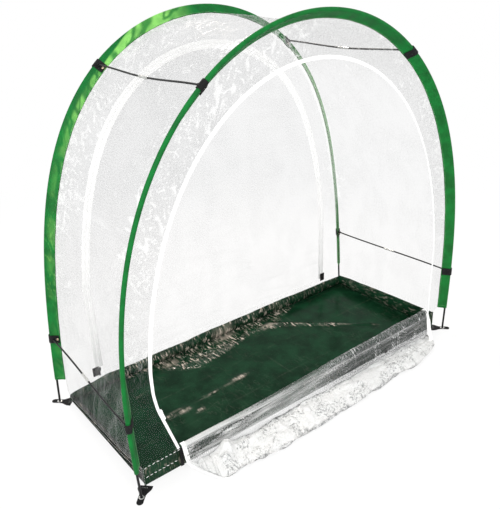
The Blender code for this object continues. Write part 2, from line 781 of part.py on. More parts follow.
def pull_outline():
    """A round-ended tongue that hangs from its bar, and the eye below the bar."""
    half, bar = PULL_WIDTH / 2, PULL_THICK / 2
    end = -PULL_LENGTH + half
    turns = [math.radians(-30 * i) for i in range(1, 6)]
    tip = [(half * math.cos(a), end + half * math.sin(a)) for a in turns]
    tongue = [(-half, bar), (half, bar), (half, end), *tip, (-half, end)]
    side, low = PULL_EYE_WIDTH / 2, -bar - PULL_EYE
    return [tongue, [(-side, -bar), (side, -bar), (side, low), (-side, low)]]


def zip_fittings():
    """A slider on each zip's straight lower run, with its pull hanging on it."""
    slider_mesh = slider_shape()
    front, back = front_zip_path(), back_zip_path()
    front_up, back_up = (front[1] - front[0]).normalized(), (back[1] - back[0]).normalized()
    front_place = front[1] - front_up * (SLIDER_LENGTH / 2 + FRONT_SLIDER_DROP)
    back_place = back[0] + back_up * BACK_SLIDER_REST
    for side, place, y, up, facing in (("front", front_place, -PANEL_Y, front_up, -1),
                                       ("back", back_place, PANEL_Y, back_up, 1)):
        along = Vector((up.x, 0, up.y))
        out = Vector((0, facing, 0))
        turn = Matrix((out.cross(along), out, along)).transposed().to_4x4()
        centre = Vector((place.x, y, place.y))
        slider = bpy.data.objects.new(f"{side}_zip_slider", slider_mesh.copy())
        slider.location = centre
        slider.rotation_euler = turn.to_euler()
        finish(slider, WHITE, 0.4)
        pull = flat_piece(f"{side}_zip_pull", pull_outline(), PULL_THICK)
        pull.location = centre + out * PULL_AXIS_OUT
        pull.rotation_euler = (turn @ Matrix.Rotation(math.pi / 2, 4, "X")).to_euler()
        finish(pull, WHITE, 0.4)
    bpy.data.objects.remove(bpy.data.objects["slider"])


def tub():
    """A box of sheet, open at the top."""
    obj = box("tub_groundsheet", (-TUB_X, -TUB_Y, 0), (TUB_X, TUB_Y, TUB_WALL))
    shape = bmesh.new()
    shape.from_mesh(obj.data)
    lid = [face for face in shape.faces if face.normal.z > 0.5]
    bmesh.ops.delete(shape, geom=lid, context="FACES_ONLY")
    shape.to_mesh(obj.data)
    shape.free()
    skin = obj.modifiers.new("sheet", "SOLIDIFY")
    skin.thickness = TUB_SHEET
    skin.offset = -1
    skin.use_even_offset = True
    finish(obj, DARK_GREEN, 0.25)


def heap_depth(from_left, from_right):
    """How far the heap reaches out from the wall, rounded off towards its two ends."""
    left = min(1.0, from_left / HEAP_LEFT_ROUND)
    right = min(1.0, from_right / HEAP_RIGHT_ROUND)
    round_off = min(math.sqrt(1 - (1 - left) ** 2), math.sqrt(1 - (1 - right) ** 2))
    return HEAP_DEPTH * (0.25 + 0.75 * round_off)


def heap_place(along, share, depth):
    """Place of the dropped door's film: over the wall, down it, and out over the ground in folds."""
    top = FILM_BASE + HEAP_FILM / 2
    lap, down, out = 0.1, 0.4, HEAP_OVER_WALL
    wave = math.sin(2 * math.pi * (along * 3.5 + 0.15))
    ripple = math.sin(2 * math.pi * (along * 9.0 + share * 0.8))
    if share <= lap:
        return out * share / lap, top + HEAP_RISE * share / lap
    if share < down:
        part = (share - lap) / (down - lap)
        away = out + HEAP_SLANT * part + HEAP_RIPPLE * part * (1 + ripple)
        return away, mix(top + HEAP_RISE, HEAP_FILM, part ** 1.3)
    part = (share - down) / (1 - down)
    away = mix(out + HEAP_SLANT + HEAP_RIPPLE * (1 + ripple), depth * (1 + 0.08 * wave), part)
    ridge = math.sin(math.pi * min(1, part * 1.15)) * math.sin(math.pi * (2.0 * part + 0.25 * wave)) ** 2
    height = HEAP_FILM + HEAP_FOLD * depth / HEAP_DEPTH * ridge * (0.65 + 0.35 * ripple)
    return away, height


def front_door():
    """The unzipped door's film, sewn to the tub's front wall and heaped before it."""
    path = front_zip_path()
    left, right = path[0].x + HEAP_LEFT_IN, path[-1].x - HEAP_RIGHT_IN
    columns, rows = 52, 10
    grid = []
    for i in range(columns + 1):
        along = i / columns
        x = mix(left, right, along)
        depth = heap_depth(x - left, right - x)
        line = []
        for j in range(rows + 1):
            away, height = heap_place(along, j / rows, depth)
            line.append((x, -PANEL_Y - away, height))
        grid.append(line)
    obj = loft("front_door", grid, False)
    skin = obj.modifiers.new("film", "SOLIDIFY")
    skin.thickness = HEAP_FILM
    skin.offset = 0
    finish(obj, CLEAR, 0.15, alpha=0.35)


def corners():
    """A strap from each corner of the tub to its rod's foot, with a grommet for the rod's tip."""
    half = STRAP_WIDTH / 2
    foot = math.hypot(HALF_SPAN - TUB_X, HALF_SPACING - TUB_Y)
    angle = math.atan2(HALF_SPACING - TUB_Y, HALF_SPAN - TUB_X)
    notch = TOUCH / DIAGONAL
    end = foot + STRAP_PAST_FOOT - half
    turns = [math.radians(-75 + 30 * i) for i in range(6)]
    tip = [(end + half * math.cos(a), half * math.sin(a)) for a in turns]
    side_near = (notch - half * math.tan(math.pi / 2 - max(angle, math.pi / 2 - angle)), half)
    outline = [(notch, 0), (side_near[0], -half), (end, -half), *tip, (end, half), side_near]
    hole_radius = GROMMET_BARREL + TOUCH
    rounds = [math.tau * i / 16 for i in range(16)]
    hole = [(foot + hole_radius * math.cos(a), hole_radius * math.sin(a)) for a in rounds]
    flange = GROMMET_BARREL + GROMMET_FLANGE
    profile = [(GROMMET_BORE, GROMMET_TOP), (flange, GROMMET_TOP), (flange, GROMMET_TOP - GROMMET_PLATE),
               (GROMMET_BARREL, GROMMET_TOP - GROMMET_PLATE), (GROMMET_BARREL, GROMMET_PLATE),
               (flange, GROMMET_PLATE), (flange, 0), (GROMMET_BORE, 0)]
    for front_back, sign_y in (("front", -1), ("back", 1)):
        for end_name, sign_x in (("left", -1), ("right", 1)):
            strap = flat_piece(f"strap_{front_back}_{end_name}", [outline, hole], STRAP_THICK)
            strap.location = (sign_x * TUB_X, sign_y * TUB_Y, STRAP_BASE + STRAP_THICK / 2)
            strap.rotation_euler = (0, 0, math.atan2(sign_y * math.sin(angle), sign_x * math.cos(angle)))
            finish(strap, BLACK, 0.7)
            grommet = turned(f"grommet_{front_back}_{end_name}", profile, 16)
            grommet.location = (sign_x * HALF_SPAN, sign_y * HALF_SPACING, 0)
            finish(grommet, STEEL, 0.3, 1.0)


clear_scene()
TENT = new_collection("Frost protection tent")
CUTTERS = new_collection("Cutters")
hoop_rods()
sleeves()
clips()
spacers()
roof_film()
zips_and_doors()
zip_fittings()
tub()
front_door()
corners()
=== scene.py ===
import math

import bmesh
import bpy
import numpy as np
from bpy.props import FloatProperty, FloatVectorProperty, IntProperty, PointerProperty
from mathutils import Matrix, Vector


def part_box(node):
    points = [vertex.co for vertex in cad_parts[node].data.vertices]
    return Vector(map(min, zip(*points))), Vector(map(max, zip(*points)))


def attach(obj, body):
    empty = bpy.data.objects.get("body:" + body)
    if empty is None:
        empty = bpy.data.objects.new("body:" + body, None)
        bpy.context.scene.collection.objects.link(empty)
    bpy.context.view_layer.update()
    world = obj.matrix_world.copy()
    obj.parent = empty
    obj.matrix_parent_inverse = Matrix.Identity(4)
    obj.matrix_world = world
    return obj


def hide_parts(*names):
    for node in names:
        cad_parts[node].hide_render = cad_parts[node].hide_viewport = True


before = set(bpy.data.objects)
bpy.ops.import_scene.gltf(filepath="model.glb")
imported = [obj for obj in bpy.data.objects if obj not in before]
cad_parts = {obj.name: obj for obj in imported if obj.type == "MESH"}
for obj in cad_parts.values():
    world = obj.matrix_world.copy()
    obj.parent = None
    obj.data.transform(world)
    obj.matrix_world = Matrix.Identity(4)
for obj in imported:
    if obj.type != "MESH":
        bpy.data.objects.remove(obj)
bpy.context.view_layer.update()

bl_info = {
    "name": "Frost protection tent",
    "version": (1, 0, 0),
    "blender": (4, 5, 0),
    "location": "View3D > Sidebar > Frost tent",
    "description": "Dresses the tent's frame: sleeves, clear film, zips, tub, webbing and the stage",
    "category": "Object",
}

TENT_BODY, BACK_DOOR_BODY = "tent", "back_door"
LEVELS, ENDS, HOOPS = ("top", "low"), ("left", "right"), ("front", "back")


def middle(node):
    """The centre of a node's box."""
    low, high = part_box(node)
    return (low + high) / 2


# Places that the frame settles
FOOT = middle("grommet_front_right")
HALF_SPAN, HALF_SPACING = FOOT.x, -FOOT.y
TUB_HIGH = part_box("tub_groundsheet")[1]
TUB_X, TUB_Y, TUB_WALL = TUB_HIGH.x, TUB_HIGH.y, TUB_HIGH.z
PANEL_Y = -middle("front_panel").y
FILM_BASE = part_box("front_panel")[0].z

# Sizes that the hoops, sleeves and zips share with the frame, in metres
HOOP_HEIGHT = 1.354
BACK_DRAW_IN = 0.041
HOOP_SECTIONS = 4
ROD_RADIUS = 0.0040
FERRULE_RADIUS = 0.0053
FERRULE_LENGTH = 0.050
SPACER_RADIUS = 0.0030
SPACER_FERRULE_RADIUS = 0.0044
SPACER_FERRULE_LENGTH = 0.055
TOP_SPACER_SAG = 0.010
TOP_CLIP_ARC = 0.460
LOW_CLIP_ARC = 0.275
SLEEVE_WIDTH = 0.033
SLEEVE_ROUND = 0.0062 + 0.0006
SLEEVE_SEAM_HALF = 0.0012
SLEEVE_END_HEIGHT = 0.102
CLIP_WIDTH = 0.031
CLIP_LEG = 0.0310
TAPE_WIDTH = 0.0150
TAPE_EDGE = 0.0007
TAPE_OUT = TAPE_EDGE + TAPE_WIDTH
FRONT_SIDE_BORDER = 0.095
FRONT_TOP_BORDER = 0.142
FRONT_DOOR_SHIFT = 0.015
FRONT_SPRING = 0.400
FRONT_LEFT_FOOT_IN = 0.136
FRONT_RIGHT_FOOT_IN = 0.041
FRONT_KNEE = 0.290
FRONT_KNEE_BEND = 0.030
BACK_SIDE_BORDER = 0.132
BACK_TOP_BORDER = 0.129
BACK_SPRING = 0.450
BACK_FOOT_IN = 0.130
ROOF_SAG = 0.012
DIAGONAL = math.sqrt(0.5)
SEAM_IN = SLEEVE_WIDTH * DIAGONAL
FOLD_TWIST = math.radians(21)
HEM_LAP = 0.006

# Points along and across each sheet's grid
SLEEVE_ROWS = 560
ROOF_ROWS, ROOF_COLUMNS = 500, 94
PANEL_ROWS, PANEL_COLUMNS = 620, 32
DOOR_COLUMNS, DOOR_ROWS = 240, 90
HEAP_COLUMNS, HEAP_ROWS = 290, 134
TUB_COLUMNS, TUB_ROWS, TUB_WALL_ROWS = 288, 118, 12

# The dropped door: its outer edge on the ground as (x, y), how many times it folds, and its flat cut
HEAP_EDGE = ((-0.554, -0.299), (-0.535, -0.360), (-0.511, -0.415), (-0.489, -0.425), (-0.446, -0.415),
             (-0.374, -0.427), (-0.287, -0.438), (-0.115, -0.438), (-0.016, -0.431), (0.182, -0.431),
             (0.308, -0.415), (0.453, -0.426), (0.549, -0.403), (0.620, -0.375), (0.640, -0.310))
HEAP_TIP, HEAP_CORNER = 3, 12
HEAP_FOLDS = 7

# The groundsheet's slack: how far its hem hangs, at places along the back, left and right walls
BACK_HEM_DROP = ((-0.72, 0.050), (-0.65, 0.036), (-0.56, 0.025), (0.60, 0.024), (0.72, 0.030))
LEFT_HEM_DROP = ((-0.29, 0.000), (-0.24, 0.012), (-0.15, 0.026), (0.00, 0.034), (0.15, 0.042), (0.29, 0.050))
RIGHT_HEM_DROP = ((-0.29, 0.000), (0.00, 0.010), (0.20, 0.020), (0.29, 0.030))
# Packing folds that still stand up from the floor: start, end and height
FLOOR_FOLDS = (((-0.50, -0.030), (-0.10, -0.024), 0.0013), ((0.154, 0.27), (0.563, -0.111), 0.0036),
               ((-0.62, 0.11), (-0.46, 0.15), 0.0010))
# Where the slack by the back wall ends on the floor, as (x, y)
SLACK_EDGE = ((-0.60, 0.290), (-0.50, 0.270), (-0.37, 0.255), (-0.295, 0.181), (-0.203, 0.137), (-0.10, 0.155),
              (0.033, 0.185), (0.131, 0.210), (0.221, 0.165), (0.30, 0.230), (0.45, 0.270), (0.60, 0.290))
# Bright spots where the sheet catches the light: x, y, half length, half width and strength
GLINTS = ((-0.148, -0.020, 0.027, 0.009, 0.95), (-0.282, -0.031, 0.022, 0.004, 0.8),
          (-0.419, -0.047, 0.021, 0.008, 0.95), (-0.371, -0.081, 0.013, 0.006, 0.8),
          (-0.479, -0.040, 0.012, 0.006, 0.7), (-0.300, 0.250, 0.030, 0.026, 0.85),
          (-0.015, 0.262, 0.046, 0.020, 1.0), (0.192, 0.204, 0.034, 0.018, 1.0),
          (0.30, 0.268, 0.022, 0.012, 0.6))


# What a user would change

def length(name, description, default):
    return FloatProperty(name=name, description=description, default=default, unit="LENGTH")


def angle(name, description, default):
    return FloatProperty(name=name, description=description, default=default, subtype="ANGLE")


def power(name, description, default):
    return FloatProperty(name=name, description=description, default=default, unit="POWER")


def colour(name, description, *default):
    return FloatVectorProperty(name=name, description=description, default=default, subtype="COLOR")


class TentSizes(bpy.types.PropertyGroup):
    """Sizes of the cloth, thread and small repeated parts."""
    film: length("Film", "Thickness of the clear film", 0.0004)
    film_fold: length("Film folds", "Height of the film's soft folds", 0.0060)
    film_crease: length("Film creases", "Height of the film's small creases", 0.0016)
    cloth: length("Sleeve cloth", "Thickness of the sleeves' fabric", 0.0007)
    pucker: length("Sleeve puckers", "Height of the sleeves' puckers", 0.0016)
    tub_sheet: length("Tub sheet", "Thickness of the groundsheet", 0.0009)
    tub_crease: length("Tub creases", "Height of the groundsheet's creases", 0.0034)
    webbing: length("Webbing", "Thickness of the black webbing", 0.0018)
    stitch: length("Stitch", "Length of one stitch", 0.0036)
    stitch_step: length("Stitch step", "Distance from one stitch to the next", 0.0052)
    thread: length("Thread", "Thickness of the sewing thread", 0.0008)
    tooth_step: length("Tooth step", "Distance between the zip's teeth", 0.0025)
    round_sides: IntProperty(name="Round sides", description="Sides of a rod's round", default=18, min=8)


class TentColours(bpy.types.PropertyGroup):
    """Colours of the finishes, as linear light."""
    sleeve: colour("Sleeve", "Green of the sleeves", 0.0028, 0.132, 0.0225)
    sunlit: colour("Sunlit sleeve", "Green where light comes through", 0.230, 0.600, 0.130)
    film: colour("Film", "Grey of the clear film", 0.10, 0.105, 0.105)
    # The crease colour is a painted highlight on the film's crease lines; the heaped door's layers take it too.
    crease: colour("Film creases", "White of the film's creases", 0.95, 0.955, 0.955)
    tub: colour("Tub", "Dark green of the groundsheet", 0.0042, 0.0275, 0.0115)
    # Also the colour of painted glints where the sheet catches the light.
    tub_pale_and_glint: colour("Tub creases", "Whitened plastic on its creases", 0.72, 0.61, 0.52)
    black: colour("Webbing", "Black of the webbing", 0.012, 0.012, 0.013)
    rod: colour("Rod", "Black of the glass-fibre rods", 0.006, 0.006, 0.0065)
    zip: colour("Zip", "White of the zips", 0.98, 0.98, 0.98)
    steel: colour("Steel", "Bright steel of ferrules and eyelets", 0.72, 0.72, 0.70)
    brass: colour("Rivet", "Dull brass of the rivets", 0.52, 0.42, 0.30)
    thread: colour("Thread", "Pale green of the sleeves' thread", 0.36, 0.62, 0.36)


class TentStage(bpy.types.PropertyGroup):
    """The camera's place and the plain studio."""
    camera: FloatVectorProperty(name="Camera", description="Place of the camera", subtype="TRANSLATION",
                                default=(-1.3423, -1.6933, 1.4681))
    yaw: angle("Yaw", "Camera's turn to the right of the tent's depth", 0.6507)
    pitch: angle("Pitch", "Camera's tilt above the level", -0.4265)
    roll: angle("Roll", "Camera's lean", -0.0421)
    lens: FloatProperty(name="Lens", description="Focal length in millimetres", default=44.46)
    key: power("Key light", "Power of the large lamp on the left", 88.0)
    rim: power("Rim light", "Power of the lamp behind", 30.0)
    sky: FloatProperty(name="Sky", description="Strength of the soft light all round", default=1.0)
    floor: colour("Floor", "Pale colour of the floor", 0.88, 0.88, 0.88)


# Paths of the hoops and zips, as rows of (x, z) numbers

def run_down(start, step=0.002):
    """A bent rod from its top, with its bend equal to its height over the feet: (arc, across, height)."""
    arc, across, height, angle = 0.0, 0.0, start, 0.0
    places = [(arc, across, height)]
    while height > 0:
        half_way = angle + height * step / 2
        fall = math.sin(half_way) * step
        share = min(1.0, height / fall) if fall > 0 else 1.0
        arc += step * share
        across += math.cos(half_way) * step * share
        angle += (height - fall / 2) * step
        height = height - fall * share if share == 1.0 else 0.0
        places.append((arc, across, height))
    return np.array(places)


def bent_rod():
    """Half of a straight rod bent between its two feet to the hoop's span and height."""
    low, high = 0.2, 1.95
    for _ in range(40):
        start = (low + high) / 2
        places = run_down(start)
        if start / places[-1][1] < HOOP_HEIGHT / HALF_SPAN:
            low = start
        else:
            high = start
    wide, tall = HALF_SPAN / places[-1][1], HOOP_HEIGHT / start
    return places * (wide, wide, tall)


HALF_HOOP = bent_rod()
HALF_ARC = HALF_HOOP[-1][0]
SLEEVE_END_ARC = np.interp(-SLEEVE_END_HEIGHT, -HALF_HOOP[:, 2], HALF_HOOP[:, 0])
CLIP_ARCS = {"top": TOP_CLIP_ARC, "low": HALF_ARC - LOW_CLIP_ARC}
SECTION_ARC = 2 * HALF_ARC / HOOP_SECTIONS
JOINT_ARCS = [-HALF_ARC + SECTION_ARC * (i + 1) for i in range(HOOP_SECTIONS - 1)]


def hoop_at(arcs, side):
    """Places on the hoop at arcs from its top; the back hoop is drawn in half way up."""
    arcs = np.atleast_1d(arcs).astype(float)
    away = np.minimum(np.abs(arcs), HALF_ARC)
    x = np.interp(away, HALF_HOOP[:, 0], HALF_HOOP[:, 1])
    z = np.interp(away, HALF_HOOP[:, 0], HALF_HOOP[:, 2])
    if side == "back":
        x = x * (1 - BACK_DRAW_IN / HALF_SPAN * np.sin(math.pi * z / HOOP_HEIGHT))
    return np.column_stack((np.copysign(x, arcs), z))


def unit(ways):
    return ways / np.linalg.norm(ways, axis=1)[:, None]


def lefts(path):
    """The unit way out on the left of each point of a path."""
    ahead = np.gradient(path, axis=0)
    return unit(np.column_stack((-ahead[:, 1], ahead[:, 0])))


def beside(path, distance):
    return path + lefts(path) * distance


def lengths(path):
    """How far along each point of a path lies."""
    return np.concatenate(([0.0], np.cumsum(np.linalg.norm(np.diff(path, axis=0), axis=1))))


def resample(path, count):
    """The same path with its points spread evenly."""
    path = np.asarray(path, float)
    at = lengths(path)
    even = np.linspace(0, at[-1], count)
    return np.column_stack([np.interp(even, at, axis) for axis in path.T])


def eased(path, rounds=6):
    """A path with its corners eased and its ends kept."""
    path = np.array(path, float)
    for _ in range(rounds):
        path[1:-1] = path[1:-1] / 2 + (path[:-2] + path[2:]) / 4
    return path


def inside_hoop(side, spring, side_border, top_border, steps=120):
    """A path inside the hoop, from the spring height on its left to that on its right."""
    reach = np.interp(-spring, -HALF_HOOP[:, 2], HALF_HOOP[:, 0])
    places = hoop_at(np.linspace(-reach, reach, steps + 1), side)
    share = np.clip((places[:, 1] - spring) / (HOOP_HEIGHT - spring), 0, None)
    return places - lefts(places) * (side_border + (top_border - side_border) * share)[:, None]


def front_zip_path(count=620):
    """The front zip's middle line; its left end runs in to the tub in a slant."""
    arch = inside_hoop("front", FRONT_SPRING, FRONT_SIDE_BORDER, FRONT_TOP_BORDER) + (FRONT_DOOR_SHIFT, 0)
    foot = np.array((FRONT_LEFT_FOOT_IN - TUB_X, FILM_BASE))
    knee = np.array((arch[0, 0], FRONT_KNEE))
    slant = (foot - knee) / np.linalg.norm(foot - knee)
    bends = [foot, knee + slant * FRONT_KNEE_BEND, knee + (0, FRONT_KNEE_BEND)]
    end = (TUB_X - FRONT_RIGHT_FOOT_IN, FILM_BASE)
    return eased(resample(np.vstack((bends, arch, [end])), count), 12)


def back_zip_path(count=580):
    arch = inside_hoop("back", BACK_SPRING, BACK_SIDE_BORDER, BACK_TOP_BORDER)
    foot = TUB_X - BACK_FOOT_IN
    return eased(resample(np.vstack(([(-foot, FILM_BASE)], arch, [(foot, FILM_BASE)])), count), 8)


def zip_path(side):
    return back_zip_path() if side == "back" else front_zip_path()


def sewn_corner(level, end, side):
    """A clip's place on its hoop, and the way out from the hoop there."""
    sign = 1 if end == "right" else -1
    arc = sign * CLIP_ARCS[level]
    places = hoop_at(np.array((arc - 0.001, arc, arc + 0.001)), side)
    out = lefts(places)[1]
    return Vector((places[1, 0], facing(side)[0], places[1, 1])), Vector((out[0], 0, out[1]))


def facing(side):
    """The hoop's Y and the way to the tent's middle."""
    return (-HALF_SPACING, 1) if side == "front" else (HALF_SPACING, -1)


def outward(side):
    return -1 if side == "front" else 1


def fold_turn(arcs, side):
    """The angle of the sleeve's fold to the hoop's plane; on the front hoop's left leg it leans farther in."""
    lean = fade(-arcs, TOP_CLIP_ARC + 0.04, TOP_CLIP_ARC + 0.28)
    lean = lean * (1 - fade(-arcs, CLIP_ARCS["low"] - 0.26, CLIP_ARCS["low"] - 0.05))
    return math.pi / 4 + FOLD_TWIST * lean * (side == "front")


def seam_line(arcs, side):
    """The sleeve's seam as (x, z) places, and how far into the tent it lies."""
    hoop = hoop_at(arcs, side)
    turn = fold_turn(arcs, side)
    return hoop - lefts(hoop) * SLEEVE_WIDTH * np.cos(turn)[:, None], SLEEVE_WIDTH * np.sin(turn)


def tape_widths(side, path):
    """The width of a zip's half tape along its path: the front one is narrow at its foot and on its right."""
    share = lengths(path) / lengths(path)[-1]
    front = np.interp(share, (0, 0.08, 0.15, 0.40, 0.55, 0.75, 1), (0.62, 0.64, 0.90, 0.90, 0.74, 0.56, 0.58))
    return TAPE_WIDTH * (front if side == "front" else np.ones(len(path)))


def ring_area(ring):
    """Area inside a closed outline."""
    x, z = ring[:, 0], ring[:, 1]
    return abs(float(np.dot(x, np.roll(z, -1)) - np.dot(z, np.roll(x, -1)))) / 2


def beside_line(x, y, start, end):
    """Each place's share of the way from start to end, and its distance from that line."""
    run = np.subtract(end, start)
    share = ((x - start[0]) * run[0] + (y - start[1]) * run[1]) / (run @ run)
    return share, np.hypot(x - start[0] - share * run[0], y - start[1] - share * run[1])


# Uneven surfaces

def patches(u, v, seed):
    """Smooth noise from 0 to 1 with about one bump a unit, the same in each run."""
    table = np.random.default_rng(seed).random((64, 64))
    i, j = np.floor(u).astype(int), np.floor(v).astype(int)
    a, b = u - i, v - j
    a, b = a * a * (3 - 2 * a), b * b * (3 - 2 * b)
    low = table[i % 64, j % 64] * (1 - a) + table[(i + 1) % 64, j % 64] * a
    high = table[i % 64, (j + 1) % 64] * (1 - a) + table[(i + 1) % 64, (j + 1) % 64] * a
    return low * (1 - b) + high * b


def creases(u, v, seed, sharp=2.0):
    """Thin raised lines from 0 to 1 where smooth noise crosses its middle."""
    bent_u = u + 1.3 * patches(u * 0.7, v * 0.7, seed + 1)
    bent_v = v + 1.3 * patches(u * 0.7, v * 0.7, seed + 2)
    return (1 - np.abs(2 * patches(bent_u, bent_v, seed) - 1)) ** sharp


def fade(values, low, high):
    """From 0 at low to 1 at high, without a kink."""
    share = np.clip((values - low) / (high - low), 0, 1)
    return share * share * (3 - 2 * share)


def packed_lines(at, apart, wide):
    """1 on even lines that the packing left, and 0 away from them."""
    return np.exp(-(np.abs(at % apart - apart / 2) / wide) ** 2)


def crumple(u, v, seed, fold, crease):
    """Slack film at its cut's u and v: its height, in soft folds and small creases, and its crease lines, which
    the finish turns white as a painted highlight.
    """
    soft = patches(u / 0.17 + 0.9 * patches(u / 0.4, v / 0.4, seed), v / 0.42, seed + 3) - 0.5
    middle_folds = creases(u / 0.11, v / 0.19, seed + 5, 3.0)
    small = creases(u / 0.040, v / 0.055, seed + 8, 3.0)
    tiny = creases(u / 0.019, v / 0.023, seed + 11, 2.5)
    packing = packed_lines(u + 0.06, 0.24, 0.004) + packed_lines(v + 0.09, 0.31, 0.004)
    height = fold * (1.5 * soft + 0.35 * middle_folds) + crease * (small + 0.45 * tiny + 0.8 * packing)
    worn = fade(patches(u / 0.13, v / 0.16, seed + 15), 0.42, 0.80)
    lines = (0.10 * small ** 5 + 0.26 * tiny ** 6 + 0.05 * middle_folds ** 8) * worn
    return height, np.clip(lines + 0.08 * packing * worn, 0, 1)


# Meshes

def show(name, mesh):
    obj = bpy.data.objects.new(name, mesh)
    bpy.context.scene.collection.objects.link(obj)
    return obj


def set_cut(mesh, cut):
    """Keep each vertex's place on its flat cut, in metres, as the UV map."""
    corner = np.zeros(len(mesh.loops), int)
    mesh.loops.foreach_get("vertex_index", corner)
    mesh.uv_layers.new(name="cut").data.foreach_set("uv", cut[corner].astype(np.float32).ravel())


def set_mark(mesh, name, values):
    """A number for each vertex that the finish reads."""
    mesh.attributes.new(name, "FLOAT", "POINT").data.foreach_set("value", np.asarray(values, np.float32).ravel())


def grid_mesh(name, grid, closed=False, caps=False):
    """A mesh through a grid of places; a closed one's rows are rings, and caps fill the first and the last."""
    rows, columns = grid.shape[:2]
    index = np.arange(rows * columns).reshape(rows, columns)
    if closed:
        index = np.column_stack((index, index[:, 0]))
    faces = np.stack((index[:-1, :-1], index[1:, :-1], index[1:, 1:], index[:-1, 1:]), axis=-1)
    faces = faces.reshape(-1, 4).tolist()
    if caps:
        faces += [index[0, :-1].tolist(), index[-1, -2::-1].tolist()]
    mesh = bpy.data.meshes.new(name)
    mesh.from_pydata(grid.reshape(-1, 3).tolist(), [], faces)
    return mesh


def cleaned(mesh, weld=0.0, sharp=0):
    """Merge a mesh's doubles, turn its faces out and smooth it, all but its edges over a sharp angle."""
    shape = bmesh.new()
    shape.from_mesh(mesh)
    if weld:
        bmesh.ops.remove_doubles(shape, verts=shape.verts, dist=weld)
    bmesh.ops.recalc_face_normals(shape, faces=shape.faces)
    shape.to_mesh(mesh)
    shape.free()
    mesh.shade_smooth()
    if sharp:
        mesh.set_sharp_from_angle(angle=math.radians(sharp))


def cloth_sheet(name, points, cut, marks=None, weld=0.0):
    """A sheet through a grid of points, with its cut as UV and any marks."""
    mesh = grid_mesh(name, points)
    set_cut(mesh, cut.reshape(-1, 2))
    for mark, values in (marks or {}).items():
        set_mark(mesh, mark, values)
    if weld:
        cleaned(mesh, weld)
    mesh.shade_smooth()
    return show(name, mesh)


def thicken(obj, thickness, inner_slot=0):
    """Give a sheet its thickness; its inner face may have a slot of its own."""
    skin = obj.modifiers.new("sheet", "SOLIDIFY")
    skin.thickness = thickness
    skin.offset = 0.0
    skin.material_offset = inner_slot
    return obj


def plain(obj):
    """The piece as one plain mesh with its modifiers used up."""
    graph = bpy.context.evaluated_depsgraph_get()
    mesh = bpy.data.meshes.new_from_object(obj.evaluated_get(graph))
    obj.modifiers.clear()
    obj.data = mesh
    return obj


def swept(name, points, ups, section, widths=1.0):
    """A closed section of (side, up) rows swept along points; ups point off the strip, widths stretch it."""
    points, section = np.asarray(points, float), np.asarray(section, float)
    ahead = unit(np.gradient(points, axis=0))
    sides = unit(np.cross(np.broadcast_to(ups, points.shape), ahead))
    tops = np.cross(ahead, sides)
    spans = section[None, :, :1] * np.broadcast_to(widths, len(points))[:, None, None]
    grid = points[:, None] + sides[:, None] * spans + tops[:, None] * section[None, :, 1:]
    mesh = grid_mesh(name, grid, closed=True, caps=True)
    along = np.repeat(lengths(points), len(section))
    set_cut(mesh, np.column_stack((along, np.tile(section[:, 0], len(points)))))
    cleaned(mesh, sharp=50)
    return show(name, mesh)


def band_section(width, thickness, waves=0):
    """A flat band's outline with round edges, and ribs along it where waves is set."""
    half, thin = width / 2 - thickness / 2, thickness / 2
    count = max(2, waves * 4)
    side = np.linspace(-half, half, count + 1)
    lift = thin * (1 + (0.16 * np.cos(math.tau * waves * (side + half) / (2 * half)) if waves else 0))
    lift = np.broadcast_to(lift, side.shape)
    top = np.column_stack((side, lift))
    turn = np.radians((60, 30, 0, -30, -60))
    right = np.column_stack((half + thin * np.cos(turn), thin * np.sin(turn)))
    left = np.column_stack((-half - thin * np.cos(turn), -thin * np.sin(turn)))
    return np.vstack((top, right, top[::-1] * (1, -1), left))


def turned(name, profile, sides=28):
    """A round piece from (radius, height) rows, from one end of its axis or rim round to the other."""
    profile = np.asarray(profile, float)
    angles = np.linspace(0, math.tau, sides, endpoint=False)
    grid = np.zeros((len(profile), sides, 3))
    grid[:, :, :2] = np.column_stack((np.cos(angles), np.sin(angles)))[None] * profile[:, :1, None]
    grid[:, :, 2] = profile[:, 1:]
    mesh = grid_mesh(name, grid, closed=True)
    cleaned(mesh, 0.000001, 40)
    return show(name, mesh)


def moved(obj, matrix):
    """Bake a place into the piece's mesh, so that its object stays at the origin."""
    obj.data.transform(matrix)
    return obj


def joined(name, objs):
    """Several meshes as one piece."""
    bpy.ops.object.select_all(action="DESELECT")
    for obj in objs:
        obj.select_set(True)
    bpy.context.view_layer.objects.active = objs[0]
    if len(objs) > 1:
        bpy.ops.object.join()
    objs[0].name = objs[0].data.name = name
    return objs[0]


def finish_named(name):
    return bpy.data.materials[name]


def dress(obj, finish, body=TENT_BODY, replaces=()):
    """End a piece: its finish, the body that it rides on and the nodes that it stands for."""
    if finish:
        obj.data.materials.clear()
        obj.data.materials.append(finish_named(finish))
    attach(obj, body)
    if replaces:
        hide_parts(*replaces)
    return obj


# Node trees

